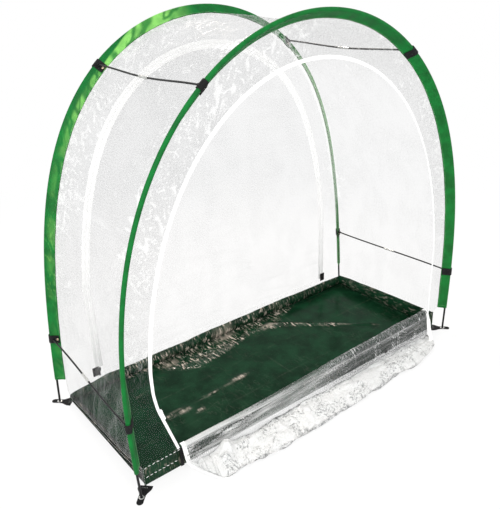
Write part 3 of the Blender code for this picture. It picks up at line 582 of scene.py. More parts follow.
class Nodes:
    """Short ways to add a tree's nodes; a value is a number, a colour or another node's socket."""

    def __init__(self, tree):
        self.tree = tree

    def feed(self, sockets, values):
        """Link each socket, by its name or number, or set the number that it holds."""
        for name, value in values.items():
            if isinstance(value, bpy.types.NodeSocket):
                self.tree.links.new(value, sockets[name])
            else:
                sockets[name].default_value = value

    def add(self, kind, values=None, **settings):
        node = self.tree.nodes.new(kind)
        for name, value in settings.items():
            setattr(node, name, value)
        self.feed(node.inputs, values or {})
        return node.outputs

    def maths(self, operation, *values):
        return self.add("ShaderNodeMath", dict(enumerate(values)), operation=operation)[0]

    def times(self, one, two):
        return self.maths("MULTIPLY", one, two)

    def times_plus(self, value, by, plus):
        return self.maths("MULTIPLY_ADD", value, by, plus)

    def most(self, one, two):
        return self.maths("MAXIMUM", one, two)

    def spread(self, value, low, high, to_low=0.0, to_high=1.0, kind="SMOOTHSTEP"):
        """A value mapped from one range to another and held there."""
        values = {"Value": value, "From Min": low, "From Max": high, "To Min": to_low, "To Max": to_high}
        return self.add("ShaderNodeMapRange", values, interpolation_type=kind)[0]

    def mix(self, share, one, two, kind="MIX"):
        return self.add("ShaderNodeMix", {0: share, 6: one, 7: two}, data_type="RGBA", blend_type=kind)[2]

    def xyz(self, *values):
        return self.add("ShaderNodeCombineXYZ", dict(enumerate(values)))[0]

    def grey(self, value):
        return self.add("ShaderNodeCombineColor", {i: value for i in range(3)})[0]

    def stretched(self, place, scale):
        return self.add("ShaderNodeMapping", {"Vector": place, "Scale": scale})[0]

    def noise(self, place, scale, detail, roughness=0.5, size="3D"):
        values = {"Vector": place, "Scale": scale, "Detail": detail, "Roughness": roughness}
        return self.add("ShaderNodeTexNoise", values, noise_dimensions=size)["Fac"]

    def bump(self, height, distance, strength):
        return self.add("ShaderNodeBump", {"Height": height, "Distance": distance, "Strength": strength})[0]

    def mark(self, name):
        return self.add("ShaderNodeAttribute", attribute_name=name)["Fac"]

    def cut(self):
        """Place on the flat cut, in metres."""
        return self.add("ShaderNodeUVMap", uv_map="cut")[0]

    def on_object(self):
        return self.add("ShaderNodeTexCoord")["Object"]

    def group(self, name, **values):
        node = self.tree.nodes.new("ShaderNodeGroup")
        node.node_tree = bpy.data.node_groups[name]
        self.feed(node.inputs, {label.replace("_", " "): value for label, value in values.items()})
        return node.outputs

    def worn(self, patch_size):
        """Where a solid piece is rubbed."""
        return self.group("wear", Vector=self.on_object(), Patch_Size=patch_size)["Patches"]

    def named(self, name, kind):
        return self.add("GeometryNodeInputNamedAttribute", {"Name": name}, data_type=kind)[0]

    def keep(self, curve, measure):
        """A curve on which each point keeps its length or its share of the way, and that measure."""
        node = self.tree.nodes.new("GeometryNodeCaptureAttribute")
        node.capture_items.new("FLOAT", measure)
        self.feed(node.inputs, {0: curve, 1: self.add("GeometryNodeSplineParameter")[measure]})
        return node.outputs[0], node.outputs[1]

    def end(self, geometry, entry, leave):
        """The end of a geometry tree: real copies in their finish."""
        real = self.add("GeometryNodeRealizeInstances", {"Geometry": geometry})[0]
        made = self.add("GeometryNodeSetMaterial", {"Geometry": real, "Material": entry["Finish"]})[0]
        self.feed(leave, {0: made})


def new_tree(name, kind, inputs, outputs):
    """An empty node group: its nodes, the sockets to read and the sockets to feed."""
    tree = bpy.data.node_groups.new(name, kind + "NodeTree")
    for label, socket, value in inputs:
        made = tree.interface.new_socket(label, in_out="INPUT", socket_type="NodeSocket" + socket)
        if value is not None:
            made.default_value = value
    for label, socket in outputs:
        tree.interface.new_socket(label, in_out="OUTPUT", socket_type="NodeSocket" + socket)
    return Nodes(tree), tree.nodes.new("NodeGroupInput").outputs, tree.nodes.new("NodeGroupOutput").inputs


def crinkle_group():
    """Creased plastic: short crease lines, cloudy patches and a height for the bump."""
    nodes, entry, leave = new_tree(
        "crinkle", "Shader",
        (("Vector", "Vector", None), ("Crease Size", "Float", 0.03), ("Stretch", "Float", 1.0)),
        (("Lines", "Float"), ("Cloud", "Float"), ("Height", "Float")))
    shaped = nodes.add("ShaderNodeVectorMath", {0: entry["Vector"], 1: nodes.xyz(1.0, entry["Stretch"], 1.0)},
                       operation="MULTIPLY")[0]
    scale = nodes.maths("DIVIDE", 1.0, entry["Crease Size"])
    place = nodes.add("ShaderNodeVectorMath", {0: shaped, "Scale": scale}, operation="SCALE")[0]
    off_middle = nodes.maths("ABSOLUTE", nodes.times_plus(nodes.noise(place, 0.9, 2.0, 0.6, "2D"), 2.0, -1.0))
    cloud = nodes.noise(place, 0.30, 1.0, size="2D")
    lines = nodes.times(nodes.spread(off_middle, 0.0, 0.06, 1.0, 0.0), nodes.spread(cloud, 0.48, 0.62))
    nodes.feed(leave, {"Lines": lines, "Cloud": nodes.spread(cloud, 0.30, 0.72),
                       "Height": nodes.maths("SUBTRACT", 1.0, off_middle)})


def weave_group():
    """Plain weave: threads over and under each other along the cut's two ways."""
    nodes, entry, leave = new_tree(
        "weave", "Shader", (("Vector", "Vector", None), ("Thread", "Float", 0.0006), ("Slub", "Float", 0.3)),
        (("Height", "Float"), ("Shade", "Float")))
    split = nodes.add("ShaderNodeSeparateXYZ", {0: entry["Vector"]})
    turn = nodes.maths("DIVIDE", math.pi, entry["Thread"])
    warp, weft = (nodes.maths("SINE", nodes.times(split[way], turn)) for way in ("X", "Y"))
    slub = nodes.noise(nodes.stretched(entry["Vector"], (60.0, 900.0, 1.0)), 1.0, 2.0)
    uneven = nodes.times(nodes.maths("SUBTRACT", slub, 0.5), entry["Slub"])
    height = nodes.maths("ADD", nodes.times_plus(nodes.times(warp, weft), 0.5, 0.5), uneven)
    nodes.feed(leave, {"Height": height, "Shade": nodes.spread(height, 0.0, 1.0, 0.86, 1.06, "LINEAR")})


def wear_group():
    """Dust and rubbing: broad patches and small specks."""
    nodes, entry, leave = new_tree("wear", "Shader", (("Vector", "Vector", None), ("Patch Size", "Float", 0.08)),
                                   (("Patches", "Float"), ("Specks", "Float")))
    scale = nodes.maths("DIVIDE", 1.0, entry["Patch Size"])
    broad = nodes.noise(entry["Vector"], scale, 5.0, 0.6)
    fine = nodes.noise(entry["Vector"], nodes.times(scale, 14.0), 2.0)
    nodes.feed(leave, {"Patches": nodes.spread(broad, 0.34, 0.68), "Specks": nodes.spread(fine, 0.60, 0.72)})


# Finishes

def rgba(colour, scale=1.0):
    return (*[channel * scale for channel in colour], 1.0)


def new_material(name, roughness, **constants):
    """A material with constants on its Principled shader: its nodes and the shader's sockets."""
    material = bpy.data.materials.new(name)
    material.use_nodes = True
    nodes, shader = Nodes(material.node_tree), material.node_tree.nodes["Principled BSDF"].inputs
    nodes.feed(shader, {"Roughness": roughness})
    nodes.feed(shader, {label.replace("_", " "): value for label, value in constants.items()})
    return nodes, shader


def film_material(name, crease_size, veil, line_veil, colours, bunched=False):
    """Clear film's outer face: a thin grey veil with a fine grain, and white creases that are a painted
    highlight; on the heap, grey lines of painted shade in its crinkles.
    """
    nodes, shader = new_material(name, 0.16, Specular_IOR_Level=0.35)
    place = nodes.cut()
    crinkle = nodes.group("crinkle", Vector=place, Crease_Size=crease_size, Stretch=0.6)
    normal = nodes.bump(crinkle["Height"], crease_size * (0.16 if bunched else 0.10), 0.6)
    grain = nodes.spread(nodes.noise(place, 230.0, 1.0, size="2D"), 0.32, 0.68, 0.1, 1.9, "LINEAR")
    lines = nodes.most(nodes.mark("crease"), nodes.times(crinkle["Lines"], nodes.mark("busy")))
    slant = nodes.add("ShaderNodeLayerWeight", {"Blend": 0.35, "Normal": normal})["Facing"]
    cloud = nodes.spread(crinkle["Cloud"], 0.0, 1.0, veil * 0.7, veil * 1.4, "LINEAR")
    alpha = nodes.times(nodes.maths("ADD", cloud, nodes.mark("haze")), grain)
    alpha = nodes.times_plus(lines, line_veil, alpha)
    alpha = nodes.times_plus(nodes.maths("POWER", slant, 3.0), 0.10, alpha)
    # Painted highlight: the crease lines turn the film white.
    colour = nodes.mix(nodes.spread(lines, 0.02, 0.30), rgba(colours.film), rgba(colours.crease))
    if bunched:
        heaped = nodes.mark("bunched")
        # Painted shade: grey lines and mottles in the heap's crinkles, which darken its white layers.
        fine = nodes.group("crinkle", Vector=place, Crease_Size=crease_size * 0.42, Stretch=1.3)
        mottle = nodes.spread(nodes.noise(place, 85.0, 3.0, 0.7, "2D"), 0.50, 0.62, 0.0, 0.85)
        painted_crease_shade = nodes.most(nodes.most(crinkle["Lines"], fine["Lines"]), mottle)
        painted_crease_shade = nodes.times(painted_crease_shade, nodes.spread(crinkle["Cloud"], 0.30, 0.62, 0.15, 1.0))
        alpha = nodes.times_plus(heaped, 0.42, alpha)
        colour = nodes.mix(heaped, colour, rgba(colours.crease))
        colour = nodes.mix(nodes.times(painted_crease_shade, heaped), colour, rgba(colours.film, 2.6))
    nodes.feed(shader, {"Base Color": colour, "Alpha": alpha, "Normal": normal,
                        "Roughness": nodes.spread(crinkle["Cloud"], 0.0, 1.0, 0.12, 0.28)})


def film_inside_material(name, veil, colours):
    """Clear film's inner face: duller, with the same crease lines faintly in it, as the same painted highlight.
    """
    nodes, shader = new_material(name, 0.24, Specular_IOR_Level=0.3)
    lines = nodes.mark("crease")
    colour = nodes.mix(nodes.spread(lines, 0.02, 0.30), rgba(colours.film), rgba(colours.crease))
    nodes.feed(shader, {"Base Color": colour, "Alpha": nodes.times_plus(lines, 0.16, veil),
                        "Roughness": nodes.spread(lines, 0.0, 1.0, 0.20, 0.34)})


def sleeve_material(colours):
    """Green polyester: plain weave, faded patches, and light through it where the sun falls."""
    nodes, shader = new_material("green_sleeve_cloth", 0.62, Sheen_Weight=0.03, Sheen_Roughness=0.4,
                                 Specular_IOR_Level=0.15)
    place = nodes.cut()
    weave = nodes.group("weave", Vector=place, Thread=0.0007, Slub=0.5)
    faded = nodes.group("wear", Vector=place, Patch_Size=0.05)["Patches"]
    base = nodes.mix(faded, rgba(colours.sleeve, 0.80), rgba(colours.sleeve, 1.30))
    lit = nodes.mix(nodes.mark("sunlit"), base, rgba(colours.sunlit))
    tall = nodes.maths("ADD", nodes.times(weave["Height"], 0.10), nodes.noise(place, 70.0, 3.0))
    nodes.feed(shader, {"Base Color": nodes.mix(1.0, lit, nodes.grey(weave["Shade"]), "MULTIPLY"),
                        "Roughness": nodes.spread(faded, 0.0, 1.0, 0.55, 0.70),
                        "Normal": nodes.bump(tall, 0.0012, 0.7)})


def tub_material(colours):
    """Dark green polythene sheet: smooth, with pale strokes where it is crinkled, partly whitening of the
    plastic and partly painted highlight, painted glints where it catches the light, and painted shade on the
    left end's outer wall.
    """
    nodes, shader = new_material("dark_green_groundsheet", 0.24, Specular_IOR_Level=0.045, Coat_Roughness=0.10)
    place = nodes.cut()
    crinkle = nodes.group("crinkle", Vector=place, Crease_Size=0.034, Stretch=0.4)
    small = nodes.group("crinkle", Vector=place, Crease_Size=0.0085, Stretch=0.22)
    wear = nodes.group("wear", Vector=place, Patch_Size=0.09)
    rough = nodes.mark("crinkled")
    strokes = nodes.noise(nodes.stretched(place, (95.0, 24.0, 1.0)), 1.0, 2.5, 0.65, "2D")
    strokes = nodes.spread(strokes, 0.50, 0.66)
    light = nodes.spread(nodes.noise(place, 26.0, 1.0, size="2D"), 0.40, 0.66, 0.14, 1.0)
    sharp = nodes.times(nodes.times(strokes, nodes.spread(rough, 0.15, 0.75)), light)
    # Painted highlight: glint patches and fold ridges from the ridge mark.
    painted_glints = nodes.times(nodes.mark("ridge"), nodes.spread(strokes, 0.0, 0.8, 0.45, 1.0))
    broad = nodes.times(crinkle["Lines"], nodes.spread(rough, 0.0, 0.9, 0.02, 0.25))
    lines = nodes.times(nodes.most(nodes.most(sharp, broad), painted_glints), 0.85)
    base = nodes.mix(wear["Patches"], rgba(colours.tub, 0.70), rgba(colours.tub, 1.40))
    # Painted shade: the left end wall's outer face darkened to near black, standing in for its shadow.
    base = nodes.mix(nodes.mark("outer"), base, rgba(colours.black, 0.8))
    # The pale strokes are partly whitening of the crinkled plastic and partly painted highlight.
    pale_strokes_and_glints = nodes.mix(lines, base, rgba(colours.tub_pale_and_glint))
    dusty = nodes.mix(nodes.times(wear["Specks"], 0.015), pale_strokes_and_glints, rgba(colours.tub_pale_and_glint))
    fine = nodes.times(small["Height"], nodes.spread(rough, 0.0, 1.0, 0.02, 0.55))
    tall = nodes.times_plus(crinkle["Height"], nodes.spread(rough, 0.0, 1.0, 0.04, 0.8), fine)
    nodes.feed(shader, {"Base Color": dusty, "Roughness": nodes.spread(wear["Patches"], 0.0, 1.0, 0.16, 0.26),
                        "Coat Weight": nodes.times(rough, 0.30), "Normal": nodes.bump(tall, 0.0050, 0.8)})


def webbing_material(colours):
    """Black woven webbing: a herringbone of ribs with lighter fuzz on top."""
    nodes, shader = new_material("black_webbing", 0.75, Specular_IOR_Level=0.2)
    split = nodes.add("ShaderNodeSeparateXYZ", {0: nodes.cut()})
    slope = nodes.maths("ADD", split["X"], nodes.maths("PINGPONG", split["Y"], 0.0028))
    ribs = nodes.times_plus(nodes.maths("SINE", nodes.times(slope, 4200.0)), 0.5, 0.5)
    shade = nodes.times(ribs, nodes.spread(nodes.worn(0.02), 0.0, 1.0, 0.4, 1.0))
    nodes.feed(shader, {"Base Color": nodes.mix(shade, rgba(colours.black, 0.5), rgba(colours.black, 1.8)),
                        "Roughness": nodes.spread(ribs, 0.0, 1.0, 0.85, 0.62),
                        "Normal": nodes.bump(ribs, 0.0005, 0.9)})


def rod_material(colours):
    """Black glass-fibre rod: fine long fibres under a satin skin, scuffed in places."""
    nodes, shader = new_material("black_glass_fibre", 0.42, Specular_IOR_Level=0.22)
    fibres = nodes.noise(nodes.stretched(nodes.cut(), (12.0, 2600.0, 1.0)), 1.0, 3.0)
    share = nodes.times(fibres, nodes.spread(nodes.worn(0.03), 0.0, 1.0, 0.3, 1.0))
    nodes.feed(shader, {"Base Color": nodes.mix(share, rgba(colours.rod, 0.8), rgba(colours.rod, 2.2)),
                        "Roughness": nodes.spread(share, 0.0, 0.7, 0.28, 0.5),
                        "Normal": nodes.bump(fibres, 0.0001, 0.5)})


def zip_tape_material(colours):
    """White zip tape: fine woven cords along it, a little soiled."""
    nodes, shader = new_material("white_zip_tape", 0.66, Sheen_Weight=0.15)
    weave = nodes.group("weave", Vector=nodes.cut(), Thread=0.0008, Slub=0.25)
    worn = nodes.worn(0.05)
    soiled = nodes.mix(worn, rgba(colours.zip), rgba(colours.zip, 0.95))
    nodes.feed(shader, {"Base Color": nodes.mix(0.3, soiled, nodes.grey(weave["Shade"]), "MULTIPLY"),
                        "Roughness": nodes.spread(worn, 0.0, 1.0, 0.6, 0.74),
                        "Normal": nodes.bump(weave["Height"], 0.0003, 0.6)})


def plain_material(name, colour, roughness, metal=False):
    """Moulded plastic or thread with a faint grain and rubbed patches, or brushed metal with duller patches."""
    nodes, shader = new_material(name, roughness, Metallic=float(metal))
    worn, place = nodes.worn(0.010 if metal else 0.012), nodes.on_object()
    if metal:
        shade, least, greatest = 0.72, roughness, roughness + 0.2
        normal = nodes.bump(nodes.noise(place, 2400.0, 1.0), 0.00004, 0.5)
    else:
        shade, least, greatest = 0.88, roughness * 0.85, roughness * 1.2
        normal = nodes.bump(nodes.noise(place, 1800.0, 2.0), 0.00006, 0.6)
    nodes.feed(shader, {"Base Color": nodes.mix(worn, rgba(colour), rgba(colour, shade)),
                        "Roughness": nodes.spread(worn, 0.0, 1.0, least, greatest), "Normal": normal})


# Geometry node trees

def bead_tree():
    """Small rounded beads along a path, for stitches and zip teeth."""
    nodes, entry, leave = new_tree(
        "bead_row", "Geometry", (
            ("Path", "Geometry", None), ("Spacing", "Float", 0.005), ("Length", "Float", 0.0035),
            ("Width", "Float", 0.0008), ("Height", "Float", 0.0008), ("Sway", "Float", 0.05), ("Seed", "Int", 4),
            ("Finish", "Material", None)), (("Beads", "Geometry"),))
    curve = nodes.add("GeometryNodeMeshToCurve", {"Mesh": entry["Path"]})[0]
    even = nodes.add("GeometryNodeResampleCurve", {"Curve": curve, "Length": entry["Spacing"]}, mode="LENGTH")[0]
    tangent = nodes.add("GeometryNodeInputTangent")[0]
    turn = nodes.add("FunctionNodeAxesToRotation", {0: tangent, 1: nodes.named("up", "FLOAT_VECTOR")},
                     primary_axis="X", secondary_axis="Z")[0]
    ball = nodes.add("GeometryNodeMeshUVSphere", {"Segments": 6, "Rings": 4, "Radius": 0.5})[0]
    size = nodes.xyz(entry["Length"], entry["Width"], entry["Height"])
    bead = nodes.add("GeometryNodeTransform", {"Geometry": ball, "Scale": size})[0]
    row = nodes.add("GeometryNodeInstanceOnPoints", {"Points": even, "Instance": bead, "Rotation": turn})[0]
    lean = nodes.add("FunctionNodeRandomValue", {"Seed": entry["Seed"], 2: -1.0, 3: 1.0}, data_type="FLOAT")[1]
    about = nodes.xyz(0.0, 0.0, nodes.times(lean, entry["Sway"]))
    swayed = nodes.add("GeometryNodeRotateInstances", {"Instances": row, "Rotation": about})[0]
    nodes.end(nodes.add("GeometryNodeSetShadeSmooth", {"Geometry": swayed})[0], entry, leave)


def rod_tree():
    """A round rod along a path, as thick at each point as its mark says."""
    nodes, entry, leave = new_tree(
        "bent_rod", "Geometry", (("Path", "Geometry", None), ("Sides", "Int", 18), ("Finish", "Material", None)),
        (("Rod", "Geometry"),))
    curve = nodes.add("GeometryNodeMeshToCurve", {"Mesh": entry["Path"]})[0]
    circle = nodes.add("GeometryNodeCurvePrimitiveCircle", {"Resolution": entry["Sides"], "Radius": 1.0})[0]
    curve, along = nodes.keep(curve, "Length")
    circle, around = nodes.keep(circle, "Factor")
    skin = nodes.add("GeometryNodeCurveToMesh", {"Curve": curve, "Profile Curve": circle, "Fill Caps": True,
                                                 "Scale": nodes.named("radius", "FLOAT")})[0]
    cut = nodes.xyz(along, nodes.times(around, math.tau * ROD_RADIUS))
    mapped = nodes.add("GeometryNodeStoreNamedAttribute", {"Geometry": skin, "Name": "cut", "Value": cut},
                       data_type="FLOAT2", domain="CORNER")[0]
    nodes.end(nodes.add("GeometryNodeSetShadeSmooth", {"Geometry": mapped})[0], entry, leave)


def stud_tree():
    """Copies of one small turned piece on a set of points, each turned to its own way up."""
    nodes, entry, leave = new_tree(
        "studs", "Geometry",
        (("Points", "Geometry", None), ("Stud", "Object", None), ("Finish", "Material", None)),
        (("Studs", "Geometry"),))
    stud = nodes.add("GeometryNodeObjectInfo", {"Object": entry["Stud"]})["Geometry"]
    up = nodes.named("up", "FLOAT_VECTOR")
    turn = nodes.add("FunctionNodeAlignRotationToVector", {"Vector": up}, axis="Z")[0]
    copies = nodes.add("GeometryNodeInstanceOnPoints",
                       {"Points": entry["Points"], "Instance": stud, "Rotation": turn})[0]
    nodes.end(copies, entry, leave)


def path_mesh(name, rows, ups=None, radius=None, joined_up=True):
    """Points joined by edges, with the way up or the radius of each; rows is a list of paths."""
    rows = [np.asarray(row, float) for row in rows]
    starts = np.cumsum([0, *[len(row) for row in rows]])
    edges = [(start + i, start + i + 1)
             for row, start in zip(rows, starts.tolist()) for i in range(len(row) - 1)]
    mesh = bpy.data.meshes.new(name)
    mesh.from_pydata(np.vstack(rows).tolist(), edges if joined_up else [], [])
    if ups is not None:
        ups = np.vstack([np.broadcast_to(up, row.shape) for up, row in zip(ups, rows)])
        up = mesh.attributes.new("up", "FLOAT_VECTOR", "POINT")
        up.data.foreach_set("vector", ups.astype(np.float32).ravel())
    if radius is not None:
        set_mark(mesh, "radius", radius)
    return show(name, mesh)


def grown(obj, group, **inputs):
    """Run a geometry node tree on a path and keep its result as a plain mesh."""
    modifier = obj.modifiers.new(group, "NODES")
    modifier.node_group = bpy.data.node_groups[group]
    for item in modifier.node_group.interface.items_tree:
        if item.item_type == "SOCKET" and item.in_out == "INPUT" and item.name.lower() in inputs:
            modifier[item.identifier] = inputs[item.name.lower()]
    return plain(obj)


def bent(name, path, radius, sides, finish):
    """A round rod along a path, with a radius for each point."""
    return grown(path_mesh(name, [path], radius=radius), "bent_rod", sides=sides, finish=finish_named(finish))


def bead_row(name, rows, ups, finish, spacing, length, width, height, sway=0.05):
    path = path_mesh(name, rows, ups)
    return grown(path, "bead_row", spacing=spacing, length=length, width=width, height=height, sway=sway,
                 seed=4, finish=finish_named(finish))


def stitches(name, rows, ups, finish, body=TENT_BODY, bold=1.0):
    """Rows of machine stitches as one piece."""
    sizes = bpy.context.scene.tent_sizes
    obj = bead_row(name, rows, ups, finish, sizes.stitch_step, sizes.stitch, sizes.thread * bold,
                   sizes.thread * bold)
    return dress(obj, None, body)


# Rods, ferrules and clips

def standing(path, y):
    """Rows of (x, z) as places at a depth."""
    return np.column_stack((path[:, 0], np.full(len(path), y), path[:, 1]))


def rod_path(arcs, side):
    return standing(hoop_at(arcs, side), facing(side)[0])


def round_ends(path, radius, ease=0.0022):
    """A radius for each point that rounds off both ends."""
    at = lengths(path)
    near = np.clip(np.minimum(at, at[-1] - at) / ease, 0, 1)
    return radius * (0.55 + 0.45 * np.sqrt(1 - (1 - near) ** 2))


def with_tip_points(arcs, ease=0.0022):
    """Arcs with extra ones close to both ends, for rounded tips."""
    extra = np.array((0.15, 0.35, 0.6, 1.0)) * ease
    way = np.sign(arcs[-1] - arcs[0])
    return np.concatenate((arcs[:1], arcs[0] + way * extra, arcs[1:-1], arcs[-1] - way * extra[::-1], arcs[-1:]))


def spacer_places(level, sign, shares):
    """The line of a spacer between its two clips, which leaves each straight and sags if it is a high one."""
    arc = sign * CLIP_ARCS[level]
    front, back = hoop_at(arc, "front")[0], hoop_at(arc, "back")[0]
    ease = (1 - np.cos(math.pi * shares)) / 2
    place = front + (back - front) * ease[:, None]
    sag = TOP_SPACER_SAG if level == "top" else 0.0
    drop = sag * (1 - np.cos(2 * math.pi * shares)) / 2
    y = -HALF_SPACING + 2 * HALF_SPACING * shares
    return np.column_stack((place[:, 0], y, place[:, 1] - drop))


class TENT_OT_rods(bpy.types.Operator):
    """Bend the hoops' rod sections and the spacers, with their ferrules"""
    bl_idname = "tent.rods"
    bl_label = "Rods and ferrules"

    gap = 0.0006
    pocket = 0.013

    def execute(self, context):
        self.sides = context.scene.tent_sizes.round_sides
        ends = [-HALF_ARC, *JOINT_ARCS, HALF_ARC]
        for side in HOOPS:
            for i in range(HOOP_SECTIONS):
                arcs = with_tip_points(np.linspace(ends[i] + self.gap, ends[i + 1] - self.gap, 90))
                self.rod(f"{side}_hoop_section_{i + 1}", rod_path(arcs, side), ROD_RADIUS,
                         f"{side}_hoop_rod_{i + 1}")
            for i, joint in enumerate(JOINT_ARCS):
                half = FERRULE_LENGTH / 2
                arcs = np.linspace(joint - half, joint + half, 25)
                crimp = 1 - 0.05 * np.exp(-((np.abs(arcs - joint) - half * 0.7) / 0.0012) ** 2)
                self.ferrule(f"{side}_hoop_ferrule_{i + 1}", rod_path(arcs, side), crimp * FERRULE_RADIUS, ())
        for level in LEVELS:
            for end, sign in zip(ENDS, (-1, 1)):
                self.spacer(level, end, sign)
        return {"FINISHED"}

    def rod(self, name, path, radius, node):
        obj = bent(name, path, round_ends(path, radius), self.sides, "black_glass_fibre")
        dress(obj, None, replaces=(node,))

    def ferrule(self, name, path, radius, nodes):
        dress(bent(name, path, radius, self.sides, "bright_steel"), None, replaces=nodes)

    def spacer(self, level, end, sign):
        """Its two sections, which go into the clips' pockets, and the ferrule over their joint."""
        pocket = self.pocket / (2 * HALF_SPACING)
        half = SPACER_FERRULE_LENGTH / 2 / (2 * HALF_SPACING)
        for part, start, stop in (("front", pocket, 0.5 - half * 0.2), ("back", 0.5 + half * 0.2, 1 - pocket)):
            path = spacer_places(level, sign, with_tip_points(np.linspace(start, stop, 40)))
            self.rod(f"spacer_{level}_{end}_{part}", path, SPACER_RADIUS, f"spacer_rod_{level}_{end}_{part}")
        shares = np.linspace(0.5 - half, 0.5 + half, 41)
        away = np.abs(shares - 0.5) / half
        rolled = 1 - 0.10 * np.exp(-((away - 0.45) / 0.035) ** 2) - 0.12 * fade(away, 0.94, 1.0)
        self.ferrule(f"spacer_sleeve_{level}_{end}", spacer_places(level, sign, shares),
                     rolled * SPACER_FERRULE_RADIUS, (f"spacer_ferrule_{level}_{end}",))


def sleeve_half(toward):
    """Half the sleeve's thickness at a distance towards its seam."""
    share = np.clip(toward / SLEEVE_WIDTH, 0, 1)
    return SLEEVE_SEAM_HALF + (SLEEVE_ROUND - SLEEVE_SEAM_HALF) * (1 - share) ** 1.5


def fold_line(reach, faces, spare=0.0):
    """A fold's middle line from its seam over the rod and back, as (towards the seam, across)."""
    toward = np.linspace(reach, 0, faces, endpoint=False)
    over = np.column_stack((toward, sleeve_half(toward) + spare))
    turn = np.radians(np.linspace(90, 270, 11))
    round_rod = (SLEEVE_ROUND + spare) * np.column_stack((np.cos(turn), np.sin(turn)))
    return np.vstack((over, round_rod, (over * (1, -1))[::-1]))


def sleeve_frame(arcs, side):
    """For each arc: the hoop's place, and the ways towards the seam and across the fold."""
    inward = facing(side)[1]
    out = lefts(hoop_at(arcs, side))
    turn = fold_turn(arcs, side)
    flat, deep = np.cos(turn)[:, None], np.sin(turn)
    toward = np.column_stack((out * -flat, inward * deep))[:, (0, 2, 1)]
    across = np.column_stack((out * deep[:, None], inward * flat))[:, (0, 2, 1)]
    return rod_path(arcs, side), toward, across


class TENT_OT_sleeves(bpy.types.Operator):
    """Sew the green sleeves round the hoops"""
    bl_idname = "tent.sleeves"
    bl_label = "Sleeves"

    def execute(self, context):
        sizes = context.scene.tent_sizes
        arcs = np.linspace(-SLEEVE_END_ARC, SLEEVE_END_ARC, SLEEVE_ROWS)
        section = fold_line(SLEEVE_WIDTH, 12)
        around = lengths(section)
        for side in HOOPS:
            place, toward, across = sleeve_frame(arcs, side)
            s, w = np.meshgrid(arcs, around, indexing="ij")
            reach = np.broadcast_to(section[:, 0], s.shape)
            sign = np.broadcast_to(np.sign(section[:, 1]), s.shape)
            seed = 20 if side == "front" else 40
            loose = fade(reach, 0.006, 0.020) * (1 - 0.55 * fade(reach, SLEEVE_WIDTH - 0.008, SLEEVE_WIDTH))
            slant = s + reach * 0.8
            ripple = creases(slant / 0.040, reach / 0.05 + 2, seed, 2.0) - 0.4
            soft = patches(slant / 0.022, reach / 0.03, seed + 6) - 0.5
            lift = sizes.pucker * loose * (ripple + 0.8 * soft)
            drawn = 0.0012 * fade(reach, 0.024, SLEEVE_WIDTH) * (patches(s / 0.05, s * 0, seed + 9) - 0.5)
            toward_by = section[None, :, 0] + drawn
            across_by = section[None, :, 1] + lift * np.where(sign >= 0, 1, 0.6)
            points = (place[:, None] + toward[:, None] * toward_by[..., None]
                      + across[:, None] * across_by[..., None])
            obj = cloth_sheet(f"{side}_sleeve_cloth", points, np.stack((s, w), axis=-1),
                              {"sunlit": self.sunlit(side, s, reach, ripple)})
            thicken(obj, sizes.cloth)
            dress(obj, "green_sleeve_cloth", replaces=(f"{side}_sleeve",))
            self.sew(side, arcs)
        return {"FINISHED"}

    def sunlit(self, side, s, reach, ripple):
        """Where light shines through: the back sleeve's upper left, not in its puckers, and its right leg."""
        if side == "front":
            return 0.02 * fade(s, 0.2, 1.2)
        clear = (1 - 0.80 * fade(ripple, -0.05, 0.36)) * (0.72 + 0.5 * patches(s / 0.018, reach / 0.012, 63))
        shade = creases((s + reach * 2.5) / 0.028, reach / 0.3, 61, 5.0)
        clear = clear * (1 - 0.7 * fade(shade, 0.55, 0.9) * (1 - fade(s, -0.36, -0.22)))
        dark_edge = np.interp(s, (-0.46, -0.37, -0.28), (0.017, 0.009, -0.009))
        top = fade(s, -0.48, -0.44) * (1 - fade(s, -0.17, -0.02)) * fade(reach - dark_edge, 0.0, 0.005) * clear
        side_part = fade(s, -0.86, -0.60) * (1 - fade(s, -0.49, -0.45)) * fade(reach, 0.010, 0.019) * clear
        low = 0.20 * fade(-s, 0.45, 0.9) * (1 - 0.6 * fade(-s, 1.15, 1.4)) * fade(reach, -0.006, 0.02) * clear
        flecks = 0.30 * fade(creases(s / 0.05, reach / 0.02, 57, 3.0), 0.80, 1.0) * fade(-s, 0.9, 1.1)
        right = 0.30 * fade(s, 0.35, 0.70) * (1 - 0.6 * fade(s, 1.0, 1.3))
        return np.clip(top + 0.55 * side_part + low + flecks * (1 - fade(-s, 1.25, 1.4)) + right, 0, 1)

    def sew(self, side, arcs):
        """A row of stitches on each face along the seam, and one across each end."""
        place, toward, across = sleeve_frame(arcs, side)
        rows, ups = [], []
        reach = SLEEVE_WIDTH - 0.0035
        for sign in (-1, 1):
            half = float(sleeve_half(np.array(reach))) + 0.0004
            rows.append(place + toward * reach + across * sign * half)
            ups.append(across * sign)
        for arc in (-SLEEVE_END_ARC + 0.011, SLEEVE_END_ARC - 0.011):
            at, to, over = sleeve_frame(np.array((arc - 0.001, arc, arc + 0.001)), side)
            run = np.linspace(0.006, SLEEVE_WIDTH - 0.004, 12)
            for sign in (-1, 1):
                half = sleeve_half(run) + 0.0004
                rows.append(at[1] + to[1] * run[:, None] + over[1] * sign * half[:, None])
                ups.append(over[1] * sign)
        stitches(f"{side}_sleeve_stitches", rows, ups, "pale_green_thread")


def clip_matrix(level, end, side):
    """Place and turn of a clip: its X points to the seam, its Y out over the roof film."""
    place, out = sewn_corner(level, end, side)
    inward = Vector((0, facing(side)[1], 0))
    toward, across = (inward - out).normalized(), (inward + out).normalized()
    turn = Matrix((toward, across, toward.cross(across))).transposed().to_4x4()
    return Matrix.Translation(place) @ turn


